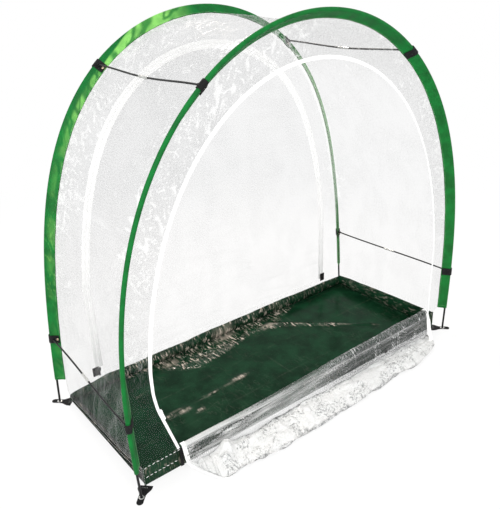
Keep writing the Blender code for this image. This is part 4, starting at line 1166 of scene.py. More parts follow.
class TENT_OT_clips(bpy.types.Operator):
    """Fold the black clips round the sleeves, with their pockets, stitches and rivets"""
    bl_idname = "tent.clips"
    bl_label = "Clips and rivets"

    gap = 0.0018
    rivet_place = 0.0245

    def execute(self, context):
        thick = context.scene.tent_sizes.webbing
        line = resample(fold_line(CLIP_LEG, 9, self.gap + thick / 2), 48)
        points, ways = [], []
        for side in HOOPS:
            for level in LEVELS:
                for end in ENDS:
                    name = f"{side}_{level}_{end}"
                    frame_of = clip_matrix(level, end, side)
                    self.clip(name, line, thick, frame_of)
                    foot, way = self.seat(thick)
                    points.append(frame_of @ foot)
                    ways.append(frame_of.to_3x3() @ way)
        stud = turned("rivet_pattern", ((0, 0.0021), (0.0016, 0.0020), (0.0031, 0.0016), (0.0043, 0.0009),
                                        (0.0048, 0.0003), (0.0048, 0.0), (0.0020, -0.0001), (0.0018, -0.0022),
                                        (0, -0.0022)), 20)
        rivets = path_mesh("clip_rivets", [np.array(points)], [np.array(ways)], joined_up=False)
        grown(rivets, "studs", stud=stud, finish=finish_named("dull_brass"))
        bpy.data.objects.remove(stud)
        nodes = [f"rivet_{side}_{level}_{end}" for side in HOOPS for level in LEVELS for end in ENDS]
        dress(rivets, None, replaces=nodes)
        return {"FINISHED"}

    def seat(self, thick):
        """The rivet's place on the leg, and the way that it faces."""
        slope = (sleeve_half(np.array(0.030)) - sleeve_half(np.array(0.024))) / 0.006
        way = Vector((-float(slope), 1, 0)).normalized()
        height = float(sleeve_half(np.array(self.rivet_place))) + self.gap + thick
        return Vector((self.rivet_place, height, 0)), way

    def clip(self, name, line, thick, frame_of):
        points = np.column_stack((line, np.zeros(len(line))))
        normals = np.column_stack((lefts(line) * -1, np.zeros(len(line))))
        band = swept(f"clip_{name}_band", points, normals, band_section(CLIP_WIDTH, thick, 6))
        along = Vector((DIAGONAL, DIAGONAL, 0))
        radius = SPACER_RADIUS + 0.0021
        cup = turned(f"clip_{name}_cup", (
            (0, 0.0070), (radius, 0.0070), (radius, 0.0165), (radius - 0.0003, 0.0174),
            (radius - 0.0010, 0.0178), (radius - 0.0016, 0.0172), (radius - 0.0018, 0.0120), (0, 0.0120)), 24)
        moved(cup, along.to_track_quat("Z", "Y").to_matrix().to_4x4())
        set_cut(cup.data, np.array([(v.co.z, math.atan2(v.co.y, v.co.x) * radius) for v in cup.data.vertices]))
        piece = joined(f"clip_{name}_webbing", [band, cup])
        moved(piece, frame_of)
        dress(piece, "black_webbing", replaces=(f"clip_{name}",))
        self.sew(name, thick, frame_of)

    def sew(self, name, thick, frame_of):
        """A box of stitches on each leg."""
        rows, ups = [], []
        half = CLIP_WIDTH / 2 - 0.003
        turn = np.array(frame_of.to_3x3())
        origin = np.array(frame_of.to_translation())
        for sign in (-1, 1):
            far = CLIP_LEG - 0.004
            ring = resample(((far, -half), (far, half), (0.016, half), (0.016, -half), (far, -half)), 40)
            height = sleeve_half(ring[:, 0]) + self.gap + thick + 0.0001
            local = np.column_stack((ring[:, 0], sign * height, ring[:, 1]))
            rows.append(local @ turn.T + origin)
            ups.append(turn @ (0, sign, 0))
        stitches(f"clip_{name}_stitches", rows, ups, "black_thread", bold=0.8)


# Clear film

def roof_edge(arcs, side):
    """The roof film's edge along a hoop's seam, run down to the tub past the sleeve's ends."""
    y, inward = facing(side)
    places, deep = seam_line(arcs, side)
    edge = np.column_stack((places[:, 0], y + inward * deep, places[:, 1]))
    foot_y = math.copysign(TUB_Y - 0.0006, y)
    for sign in (-1, 1):
        past = arcs * sign > SLEEVE_END_ARC
        if past.any():
            share = (np.abs(arcs[past]) - SLEEVE_END_ARC) / (np.abs(arcs).max() - SLEEVE_END_ARC)
            near = np.argmin(np.abs(arcs - sign * SLEEVE_END_ARC))
            start = edge[near].copy()
            foot = np.array((sign * (TUB_X - 0.0003), foot_y, FILM_BASE - HEM_LAP))
            edge[past] = start + (foot - start) * share[:, None]
    return edge


def hem_drop(x, y):
    """How far the tub's hem hangs below its full height at a place on its walls."""
    back = np.interp(x, *np.array(BACK_HEM_DROP).T) * fade(y, TUB_Y - 0.020, TUB_Y - 0.003)
    left = np.interp(y, *np.array(LEFT_HEM_DROP).T) * fade(-x, TUB_X - 0.020, TUB_X - 0.003)
    right = np.interp(y, *np.array(RIGHT_HEM_DROP).T) * fade(x, TUB_X - 0.020, TUB_X - 0.003)
    return np.maximum(back, np.maximum(left, right))


def hem_sag(points):
    """How far the film over the tub follows its hem down: all of the way at the hem, and none higher up."""
    return hem_drop(points[..., 0], points[..., 1]) * (1 - fade(points[..., 2], FILM_BASE, FILM_BASE + 0.10))


def dress_film(obj, finish, nodes, body=TENT_BODY):
    """Film's thickness and its two faces."""
    thicken(obj, bpy.context.scene.tent_sizes.film, inner_slot=1)
    dress(obj, finish, body, nodes)
    obj.data.materials.append(finish_named("clear_film_inside"))


def whitened_seam(lines, from_seam, share):
    """Crease lines with an even whitening beside the back hoop's seam, which dulls the sleeve behind it."""
    near = share * (1 - fade(from_seam, 0.008, 0.026))
    return lines * (1 - 0.8 * near) + 0.34 * near


class TENT_OT_roof_film(bpy.types.Operator):
    """Hang the clear roof film between the hoops"""
    bl_idname = "tent.roof_film"
    bl_label = "Roof film"

    def execute(self, context):
        sizes = context.scene.tent_sizes
        end = SLEEVE_END_ARC + 0.022
        arcs = np.linspace(-end, end, ROOF_ROWS)
        front, back = roof_edge(arcs, "front"), roof_edge(arcs, "back")
        shares = np.linspace(0, 1, ROOF_COLUMNS)
        grid = front[:, None] + (back - front)[:, None] * shares[None, :, None]
        hang = ROOF_SAG * np.clip((front[:, 2] - FILM_BASE) / HOOP_HEIGHT, 0, 1)
        grid[..., 2] -= hang[:, None] * np.sin(math.pi * shares)
        s, t = np.meshgrid(arcs, shares * (back[0, 1] - front[0, 1]), indexing="ij")
        wide = back[0, 1] - front[0, 1]
        from_edge = np.minimum(t, wide - t)
        lie = fade(from_edge, 0.0, 0.05) * fade(end - np.abs(s), 0.006, 0.07)
        height, lines = crumple(t, s, 60, sizes.film_fold, sizes.film_crease)
        near = np.exp(-from_edge / 0.035)
        gather = creases(s / 0.030, t / 0.09, 77, 2.0)
        height = height * lie + 0.0024 * (gather - 0.4) * near * fade(from_edge, 0.0, 0.006) * fade(
            end - np.abs(s), 0.006, 0.03)
        level = creases(s / 0.022, t / 0.30, 171, 2.0) * np.exp(-((s + 0.95) / 0.20) ** 2)
        height += 0.0016 * level * lie
        low = fade(np.abs(s), 1.22, 1.38)
        # Painted reflection: pale stripes and patches low on the left side; the gathers and crease lines get
        # painted highlight.
        painted_light_streaks = creases(s / 0.16, (t + s * 0.5) / 0.030, 175, 3.0)
        painted_reflection = fade(-s, 1.30, 1.42) * (0.04 + 0.07 * patches(s / 0.10, t / 0.16, 173) + 0.12 * painted_light_streaks)
        lines = np.clip((lines + 0.7 * gather ** 5 * near + 0.2 * level ** 3) * (1 - low) + painted_reflection, 0, 1)
        top = 1 - fade(np.abs(s), 0.30, 0.75)
        lines = whitened_seam(lines, wide - t, fade(s, 0.30, 0.50) * (1 - low))
        marks = {"crease": lines, "busy": (0.22 + 0.65 * near + 0.3 * top) * (1 - low),
                 "haze": 0.075 * top * (0.5 + patches(s / 0.11, t / 0.13, 178)) + 0.030 * near * (1 - low)}
        out = lefts(front[:, (0, 2)])
        grid += np.stack((out[:, 0], np.zeros(len(out)), out[:, 1]), axis=-1)[:, None] * height[..., None]
        grid[..., 2] -= hem_sag(grid)
        obj = cloth_sheet("roof_clear_film", grid, np.stack((t, s), axis=-1), marks)
        dress_film(obj, "clear_roof_film", ("roof_film",))
        return {"FINISHED"}


class TENT_OT_end_panels(bpy.types.Operator):
    """Set the clear film between each hoop and its zip"""
    bl_idname = "tent.end_panels"
    bl_label = "End panels"

    def execute(self, context):
        sizes = context.scene.tent_sizes
        for side in HOOPS:
            _, inward = facing(side)
            seam, deep = seam_line(np.linspace(-SLEEVE_END_ARC, SLEEVE_END_ARC, 500), side)
            corner, foot = TUB_X - 0.0006, FILM_BASE - HEM_LAP
            outer = np.vstack(((-corner, foot, SEAM_IN), np.column_stack((seam, deep)), (corner, foot, SEAM_IN)))
            path = zip_path(side)
            inner = path + lefts(path) * (tape_widths(side, path) + TAPE_EDGE - 0.002)[:, None]
            inner[[0, -1], 1] = foot
            outer, inner = resample(outer, PANEL_ROWS), resample(inner, PANEL_ROWS)
            outer, deep = outer[:, :2], outer[:, 2:]
            shares = np.linspace(0, 1, PANEL_COLUMNS)
            flat = outer[:, None] + (inner - outer)[:, None] * shares[None, :, None]
            width = np.linalg.norm(inner - outer, axis=1)[:, None] * shares
            u, v = flat[..., 0], flat[..., 1]
            from_edge = np.minimum(width, width[:, -1:] - width)
            lie = fade(from_edge, 0.0, 0.03) * fade(v, FILM_BASE, FILM_BASE + 0.05)
            seed = 90 if side == "front" else 120
            height, lines = crumple(u, v, seed, sizes.film_fold * 0.7, sizes.film_crease)
            along = np.broadcast_to(lengths(outer)[:, None], width.shape)
            busy = 0.35 + 0.65 * fade(-u, -0.1, 0.25) * fade(v, 0.5, 0.8)
            near = np.exp(-width / (0.03 + 0.05 * busy))
            gather = creases((along + width * 0.7) / 0.013, width / 0.022, seed + 20, 2.0)
            height = height * lie + 0.0020 * (gather - 0.4) * near * fade(from_edge, 0.0, 0.005) * fade(
                v, FILM_BASE, FILM_BASE + 0.03)
            high = fade(v, 0.28, 0.46)
            # Painted highlight: white lines on the gathers beside the seam.
            lines = np.clip((lines + 0.95 * busy * gather ** 5 * near ** 0.6) * high, 0, 1)
            if side == "back":
                lines = whitened_seam(lines, width, fade(u, 0.25, 0.45) * high)
            marks = {"crease": lines, "busy": (0.15 + 0.85 * busy * near ** 0.4) * high,
                     "haze": (0.010 + 0.028 * near ** 0.5) * high - 0.02 * (1 - high)}
            seam = (HALF_SPACING - deep - PANEL_Y) * (1 - shares) * fade(v, FILM_BASE, FILM_BASE + 0.03)
            grid = np.stack((u, -inward * (PANEL_Y + seam) + height, v), axis=-1)
            grid[..., 2] -= hem_sag(grid)
            name = f"{side}_panel_film"
            obj = cloth_sheet(name, grid, np.stack((u, v), axis=-1), marks)
            area = ring_area(np.vstack((outer, inner[::-1])))
            if side == "back":
                obj = joined(name, [obj, self.sill(inner)])
                area += 2 * inner[-1, 0] * 0.03
            dress_film(obj, "clear_panel_film", (f"{side}_panel",))
        return {"FINISHED"}

    def sill(self, inner):
        """The strip of film between the back door's lower edge and the tub's slack hem."""
        x = np.linspace(inner[0, 0], inner[-1, 0], 180)
        low = FILM_BASE - HEM_LAP - hem_drop(x, np.full(180, TUB_Y))
        shares = np.linspace(0, 1, 5)
        z = low[:, None] + (FILM_BASE - 0.001 - low)[:, None] * shares
        u = np.broadcast_to(x[:, None], z.shape)
        grid = np.stack((u, np.full(z.shape, PANEL_Y), z), axis=-1)
        # Painted highlight on the sill's crease lines.
        lines = creases(u / 0.02, z / 0.02, 141, 4.0) * 0.6
        return cloth_sheet("back_sill", grid, np.stack((u, z), axis=-1), {"crease": lines})


class TENT_OT_back_door(bpy.types.Operator):
    """Fit the shut back door's film inside its zip"""
    bl_idname = "tent.back_door"
    bl_label = "Back door"

    def execute(self, context):
        sizes = context.scene.tent_sizes
        arch = resample(beside(back_zip_path(), 0.002 - TAPE_OUT), DOOR_COLUMNS)
        arch[[0, -1], 1] = FILM_BASE
        base = np.column_stack((np.linspace(arch[0, 0], arch[-1, 0], len(arch)), np.full(len(arch), FILM_BASE)))
        shares = np.linspace(0, 1, DOOR_ROWS)
        flat = base[:, None] + (arch - base)[:, None] * shares[None, :, None]
        u, v = flat[..., 0], flat[..., 1]
        from_edge = np.linalg.norm(arch - base, axis=1)[:, None] * (1 - shares)
        lie = fade(from_edge, 0.0, 0.06) * fade(v, FILM_BASE, FILM_BASE + 0.05)
        lie *= fade(np.abs(arch[0, 0]) - np.abs(u), 0.0, 0.02)
        height, lines = crumple(u * 0.3, v, 150, sizes.film_fold, sizes.film_crease)
        grid = np.stack((u, PANEL_Y + height * lie, v), axis=-1)
        # Painted highlight: faint level lines and crease lines on the door.
        level = creases(u / 0.55, (v + u * 0.08) / 0.030, 155, 2.0) * patches(u / 0.14, v / 0.10, 158)
        marks = {"crease": 0.25 * lines + 0.22 * level ** 3, "haze": 0.038 * fade(v, 0.35, 0.75)}
        obj = cloth_sheet("back_door_film", grid, np.stack((u, v), axis=-1), marks, weld=0.00002)
        dress_film(obj, "clear_panel_film", ("back_door",), BACK_DOOR_BODY)
        return {"FINISHED"}


# The dropped front door

class TENT_OT_front_door(bpy.types.Operator):
    """Heap the unzipped front door in front of the tub, with its half of the zip"""
    bl_idname = "tent.front_door"
    bl_label = "Dropped front door"

    over = 0.007
    stand_off = 0.026
    layer = 0.0040
    lift = 0.016
    roll_rows, wall_rows = 9, 33
    roll_share = 0.14
    drop_length = 0.110
    under_heap = (-0.43, 0.575)
    climb = ((0.622, -0.352, 0.012), (0.640, -0.325, 0.030))

    def execute(self, context):
        path = front_zip_path()
        left, right = path[0, 0] + 0.013, path[-1, 0] - 0.006
        u = np.linspace(0, 1, HEAP_COLUMNS)
        roll, hanging = self.roll_share - 1, self.wall_rows - self.roll_rows
        phase = np.concatenate((np.linspace(-1, roll, self.roll_rows, endpoint=False),
                                np.linspace(roll, 0, hanging, endpoint=False),
                                np.linspace(0, HEAP_FOLDS, HEAP_ROWS)))
        grid, cut, marks = self.places(u, phase, left, right)
        obj = cloth_sheet("front_door_film", grid, cut, marks)
        dress_film(obj, "clear_heap_film", ("front_door",))
        tape = self.tape(grid)
        self.teeth()
        self.toggle()
        return {"FINISHED"}

    def toggle(self):
        """The small dark toggle that keeps the door rolled up, lying against the dropped film."""
        half = np.array(((0, 0.0072), (0.0028, 0.0068), (0.0042, 0.0046), (0.0033, 0.0)))
        piece = turned("front_door_toggle", np.vstack((half, half[2::-1] * (1, -1))), 20)
        lying = Matrix.Translation((0.385, -PANEL_Y - 0.026, 0.034)) @ Matrix.Rotation(math.radians(68), 4, "Y")
        dress(moved(piece, lying), "black_thread")

    def edge_places(self, u):
        """The heap's outer edge for each share of the wall; its short sides take the first and last shares."""
        edge = eased(resample(HEAP_EDGE, 300), 8)
        at = lengths(edge)
        corners = lengths(np.array(HEAP_EDGE)) / lengths(np.array(HEAP_EDGE))[-1]
        share = np.interp(u, (0.0, 0.07, 0.94, 1.0), (0.0, corners[HEAP_TIP], corners[HEAP_CORNER], 1.0))
        even = share * at[-1]
        return np.column_stack((np.interp(even, at, edge[:, 0]), np.interp(even, at, edge[:, 1])))

    def places(self, u, phase, left, right):
        """The film's grid: down the wall, then out and back over the ground in folds that keep their order."""
        at_u, at_p = np.meshgrid(u, phase, indexing="ij")
        x0 = left + (right - left) * at_u
        edge = self.edge_places(u)
        edge_x, edge_y = edge[:, :1], edge[:, 1:]
        reach = np.hypot(edge_x - x0[:, :1], edge_y + PANEL_Y) + 0 * at_u
        down = np.clip(at_p + 1, 0, 1)
        rolled = 1 - fade(down, 0, self.roll_share)
        inside = (0.010 + 0.014 * fade(at_u, 0.2, 0.9)) * rolled
        away = self.over * (1 - rolled) + (self.stand_off - self.over) * fade(down, self.roll_share, 1.0)
        turn = np.clip(at_p, 0, None)
        swing = np.abs((turn + 1) % 2 - 1)
        swing = swing * (1 - 0.10 * swing * (1 - swing))
        out_edge = reach * (0.93 + 0.10 * patches(x0 / 0.05, (turn + 1) // 2 * 3.7, 7))
        in_edge = self.stand_off + 0.026 * patches(x0 / 0.10, turn // 2 * 2.9, 9) * np.minimum(turn, 1)
        in_edge = np.minimum(in_edge, out_edge * 0.8)
        away = np.minimum(away, out_edge * 0.8) - inside
        out = np.where(at_p < 0, away, in_edge + (out_edge - in_edge) * swing)
        share = np.maximum(out, 0) / reach
        wall_height = FILM_BASE + 0.0012
        drop = fade(down, self.roll_share * 0.8, 1.0)
        crest = (0.006 + 0.016 * fade(at_u, 0.15, 0.85)) * (0.8 + 0.4 * patches(x0 / 0.12, x0 * 0, 221))
        crest = crest * np.sin(math.pi * np.clip(down / self.roll_share * 0.9 + 0.1, 0, 1))
        x = x0 + (edge_x - x0) * share * fade(down, 0.5, 1.0)
        heap = self.heap_height(x, out, reach)
        order = (turn + 0.35) / (HEAP_FOLDS + 0.35)
        wall_z = wall_height + crest + (0.0012 + heap * 0.35 / (HEAP_FOLDS + 0.35) - wall_height) * drop
        z = np.where(at_p < 0, wall_z, 0.0012 + heap * order)
        wrinkle = creases(x / 0.034, (out + turn * 0.05) / 0.022, 210, 2.0) - 0.4
        wrinkle += 0.6 * (creases(x / 0.013, (out + turn * 0.04) / 0.012, 214, 2.0) - 0.4)
        z = np.maximum(z + np.where(at_p < 0, 0.0, 0.0056 * wrinkle * order), 0.0009)
        lean = 0.0055 * (creases(x0 / 0.35, down * 2.6 + x0 * 0.6, 230, 2.0) - 0.3) * fade(down, 0.10, 0.4)
        along_way = (edge_y + PANEL_Y) / reach
        y = -PANEL_Y + out * np.where(at_p < 0, -1 + (along_way + 1) * fade(down, 0.5, 1.0), along_way)
        y = y - np.where(at_p < 0, np.clip(lean, -0.001, 0.005), 0.0)
        length = self.drop_length + reach * turn
        cut = np.stack((x0, np.where(at_p < 0, down * self.drop_length, length)), axis=-1)
        return np.stack((x, y, z), axis=-1), cut, self.marks(x0, down, turn, at_p)

    def marks(self, x0, down, turn, at_p):
        """Painted highlights on the film over the wall, a white line along its rolled top and thin white lines
        down to the ground, and the white of the heaped layers.
        """
        left_part = 1 - 0.80 * fade(x0, -0.38, -0.05)
        # Painted highlight: white lines along the roll at the wall's top and down the wall take the crease
        # colour.
        roll_highlight = (1 - fade(down, 0.16, 0.30)) * (0.10 + 0.75 * creases(x0 / 0.4, down * 22, 238, 2.0))
        painted_light_streaks = creases(x0 / 0.40, down * 3.4 + x0 * 1.1, 240, 4.0) * fade(down, 0.08, 0.25)
        threads = creases(x0 / 0.20, down * 9 + x0 * 1.6, 244, 5.0) * fade(down, 0.08, 0.2)
        threads += 0.8 * creases(x0 / 0.26, down * 13 + x0 * 2.2, 253, 7.0) * fade(down, 0.05, 0.2)
        haze = (0.13 + 0.08 * patches(x0 / 0.11, down * 5, 247)) * (0.35 + 0.65 * fade(down, 0.12, 0.30))
        haze += 0.05 * creases(x0 / 0.5, down * 16 + x0, 249, 3.0) + 0.25 * fade(down, 0.86, 1.0)
        right_part = fade(x0, -0.05, 0.25) * (1 - fade(down, 0.80, 0.98))
        far_left = 1 - fade(x0, -0.40, 0.0)
        haze = haze * (1 - 0.75 * right_part) * (1 - 0.7 * far_left * (1 - fade(down, 0.75, 0.95)))
        left_part = left_part * (1 - 0.6 * right_part)
        lines = np.clip((roll_highlight + 0.7 * painted_light_streaks + 0.7 * threads) * left_part + haze, 0, 1)
        dull = 0.50 * right_part + 0.32 * far_left * (1 - fade(lines, 0.05, 0.30))
        dull = dull * fade(down, 0.0, 0.05) * (0.8 + 0.4 * patches(x0 / 0.09, down * 6, 251))
        return {"bunched": fade(turn, 0.0, 0.35), "crease": np.where(at_p < 0, lines, 0.3),
                "busy": np.full(x0.shape, 0.3), "haze": np.where(at_p < 0, dull, 0.0)}

    def heap_height(self, x, out, reach):
        """How high the heap lies: lumps near the wall and ridges along it, thin at the outer edge."""
        share = np.clip(out / np.maximum(reach, 0.02), 0, 1.2)
        body = np.sin(math.pi * np.clip(0.16 + 0.84 * share, 0, 1)) ** 0.7
        lumps = patches(x / 0.09, out / 0.06, 301)
        ridges = creases(x / 0.20, out / 0.045, 305, 2.0)
        left_lump = np.exp(-((x + 0.44 + (out - 0.05) * 0.5) / 0.026) ** 2 - ((out - 0.06) / 0.050) ** 2)
        left_lump *= 0.55 + 0.9 * patches(x / 0.016, out / 0.022, 309)
        ends = fade(0.70 - x, 0.0, 0.20)
        height = self.lift * (0.35 + 0.9 * lumps + 0.5 * ridges) + 0.034 * left_lump
        return self.layer * 2 + body * ends * height

    def edge_line(self, grid):
        """The tape's way: over the wall's left, out to the tip, back under the heap, and up at the right."""
        left = grid[0, 2:self.wall_rows]
        tip = np.array(HEAP_EDGE[1:HEAP_TIP + 1])
        side = np.column_stack((tip, np.full(len(tip), 0.004)))
        x = np.linspace(*self.under_heap, 24)
        under = np.column_stack((x, -0.365 + 0.022 * np.sin(x * 11), 0.006 + 0.004 * np.sin(x * 7)))
        right = grid[-1, 2:self.wall_rows // 2][::-1]
        line = eased(resample(np.vstack((left, side, under, self.climb, right)), 900), 60)
        line[:, 2] += 0.0016
        return line

    def tape(self, grid):
        line = self.edge_line(grid)
        side = np.gradient(line, axis=0)
        ups = np.cross(side, np.cross((0, 0, 1.0), side))
        steep = np.abs(side[:, 2]) > 0.8 * np.linalg.norm(side, axis=1)
        ups[steep] = (0, -1.0, 0)
        ups = eased(unit(ups), 30)
        self.line, self.ups = line, ups
        obj = swept("front_door_woven_tape", line, ups, band_section(TAPE_WIDTH, 0.0010))
        return dress(obj, "white_zip_tape")

    def teeth(self):
        sizes = bpy.context.scene.tent_sizes
        ahead = np.gradient(self.line, axis=0)
        row = self.line - unit(np.cross(self.ups, ahead)) * (TAPE_WIDTH / 2)
        obj = bead_row("front_door_zip_teeth", [row], [self.ups], "white_zip_coil", sizes.tooth_step, 0.0013,
                       0.0034, 0.0018)
        return dress(obj, None)


# Zips

def on_plane(path, reach, y):
    """A path moved to its left by reach, as places on the panel at y."""
    return standing(path + lefts(path) * np.broadcast_to(reach, len(path))[:, None], y)


class TENT_OT_zips(bpy.types.Operator):
    """Sew the white zip tapes along both openings, with their teeth and stitches"""
    bl_idname = "tent.zips"
    bl_label = "Zip tapes"

    def execute(self, context):
        sizes = context.scene.tent_sizes
        pieces = (("front_zip", "front", 1, TENT_BODY, "front_zip_tape"),
                  ("back_zip", "back", 1, TENT_BODY, "back_zip_tape"),
                  ("back_door", "back", -1, BACK_DOOR_BODY, "back_door_tape"))
        for name, side, way, body, node in pieces:
            path = zip_path(side)
            if name == "back_door":
                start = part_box("back_zip_slider")[1].z + 0.002
                path = path[np.argmax(path[:, 1] > start):]
            face = outward(side)
            y = face * PANEL_Y
            wide = tape_widths(side, path)
            rows = on_plane(path, way * (TAPE_EDGE + wide / 2), y)
            section = band_section(TAPE_WIDTH, 0.0011)
            tape = swept(f"{name}_woven_tape", rows, (0, face, 0), section, wide / TAPE_WIDTH)
            dress(tape, "white_zip_tape", body, (node,))
            edge = on_plane(path, way * (TAPE_EDGE + 0.0013), y)
            teeth = bead_row(f"{name}_teeth", [edge], [(0, face, 0)], "white_zip_coil", sizes.tooth_step, 0.0013,
                             0.0024, 0.0021, sway=0.03)
            dress(teeth, None, body)
            sewn, sewn_ups = [], []
            for look in (-1, 1):
                sewn.append(on_plane(path, way * (TAPE_EDGE + wide - 0.0026), y + look * 0.0006))
                sewn_ups.append((0, look, 0))
            stitches(f"{name}_stitches", sewn, sewn_ups, "white_thread", body, 0.7)
        self.end_patches()
        return {"FINISHED"}

    def end_patches(self):
        """Dark patches sewn over the back zip's two feet, inside the film."""
        for end, sign, past in (("left", -1, 0.017), ("right", 1, 0.006)):
            x = sign * (TUB_X - BACK_FOOT_IN + past)
            up = np.linspace(FILM_BASE - 0.012, FILM_BASE + 0.026, 10)
            line = np.column_stack((np.full(10, x), np.full(10, PANEL_Y - 0.0042), up))
            patch = swept(f"back_zip_patch_{end}", line, (0, -1, 0), band_section(0.026, 0.0012))
            dress(patch, "black_webbing")


class TENT_OT_zip_fittings(bpy.types.Operator):
    """Make the sliders and their pulls"""
    bl_idname = "tent.zip_fittings"
    bl_label = "Sliders and pulls"

    pull_place = 0.0041

    def execute(self, context):
        for side in HOOPS:
            start, stop = zip_path(side)[[2, 12]]
            up = (stop - start) / np.linalg.norm(stop - start)
            along, out = Vector((up[0], 0, up[1])), Vector((0, outward(side), 0))
            turn = Matrix((out.cross(along), out, along)).transposed().to_4x4()
            place = Matrix.Translation(middle_of_slider(side)) @ turn
            slider = moved(self.slider(f"{side}_slider_body_shape"), place)
            finish = "white_slider" if side == "front" else "dark_slider"
            dress(slider, finish, f"{side}_slider", (f"{side}_zip_slider",))
            pull = moved(self.pull(f"{side}_pull_tongue"), place)
            dress(pull, finish, f"{side}_pull", (f"{side}_zip_pull",))
        return {"FINISHED"}

    def slider(self, name):
        """Two shield-shaped plates on a nose, and the wire bail; Y faces out."""
        half = [(0.0030, -0.0078), (0.0042, -0.0068), (0.0050, -0.0010), (0.0055, 0.0040), (0.0050, 0.0068),
                (0.0030, 0.0080)]
        plate = [*half, *[(-x, z) for x, z in half[::-1]]]
        parts = [self.slab(f"{name}_outer", plate, 0.0014, 0.0029, 0.0005),
                 self.slab(f"{name}_inner", plate, -0.0029, -0.0014, 0.0005),
                 self.slab(f"{name}_nose", self.block(0.00015, -0.0040, 0.0078), -0.0016, 0.0016, 0.0)]
        arc = np.radians(np.linspace(180, 0, 15))
        loop = [(0.0, 0.0026, -0.0036), *[(0.0, 0.0030 + 0.0027 * math.sin(a) ** 0.6, 0.0036 * math.cos(a))
                                          for a in arc[1:-1]], (0.0, 0.0026, 0.0036)]
        bail = bent(f"{name}_bail", loop, np.full(len(loop), 0.0008), 12, "white_slider")
        return joined(name, [*parts, bail])

    def block(self, half, low, high):
        return [(-half, low), (half, low), (half, high), (-half, high)]

    def slab(self, name, outline, low, high, bevel):
        """A plate cut to an outline of (x, z) corners, from low to high in Y, with softened edges."""
        shape = bmesh.new()
        face = shape.faces.new([shape.verts.new((x, low, z)) for x, z in outline])
        raised = bmesh.ops.extrude_face_region(shape, geom=[face])["geom"]
        tops = [part for part in raised if isinstance(part, bmesh.types.BMVert)]
        bmesh.ops.translate(shape, verts=tops, vec=(0, high - low, 0))
        bmesh.ops.recalc_face_normals(shape, faces=shape.faces)
        if bevel:
            bmesh.ops.bevel(shape, geom=shape.edges[:], offset=bevel, segments=3, profile=0.5, affect="EDGES")
        mesh = bpy.data.meshes.new(name)
        shape.to_mesh(mesh)
        shape.free()
        mesh.shade_smooth()
        mesh.set_sharp_from_angle(angle=math.radians(45))
        return show(name, mesh)

    def pull(self, name):
        """A round-ended tongue hanging from its bar, with an eye at its top and four grip ribs."""
        half, end = 0.0035, -0.032 + 0.0035
        low, high = self.pull_place - 0.0006, self.pull_place + 0.0006
        tip = [(half * math.cos(a), end + half * math.sin(a)) for a in np.radians(np.linspace(-15, -165, 11))]
        tongue = [(half, -0.0068), (half, end), *tip, (-half, end), (-half, -0.0068)]
        arm = [(-half, -0.0068), (-half, 0.0004), (-0.0016, 0.0004), (-0.0016, -0.0068)]
        parts = [self.slab(f"{name}_tongue", tongue, low, high, 0.0003),
                 self.slab(f"{name}_left", arm, low, high, 0.0002),
                 self.slab(f"{name}_right", [(-x, z) for x, z in arm[::-1]], low, high, 0.0002),
                 self.slab(f"{name}_bar", self.block(half, -0.0006, 0.0006), low, high, 0.0002)]
        for i in range(4):
            rib = end + 0.001 + i * 0.0036
            outline = self.block(0.0022, rib - 0.0005, rib + 0.0005)
            parts.append(self.slab(f"{name}_rib_{i}", outline, self.pull_place + 0.0003, high + 0.0003, 0.0002))
        return joined(name, parts)


def middle_of_slider(side):
    """The slider's centre: its box's middle, on the panel's plane."""
    low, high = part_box(f"{side}_zip_slider")
    return Vector(((low.x + high.x) / 2, outward(side) * PANEL_Y, (low.z + high.z) / 2))


# Tub

def bent_up(cut, half, radius):
    """Where a place on the cut lies once its edge is bent up: (place, height)."""
    past = np.abs(cut) - (half - radius)
    turn = np.clip(past / radius, 0, math.pi / 2)
    place = np.minimum(np.abs(cut), half - radius) + radius * np.sin(turn)
    height = radius * (1 - np.cos(turn)) + np.clip(past - radius * math.pi / 2, 0, None)
    return np.copysign(place, cut), height


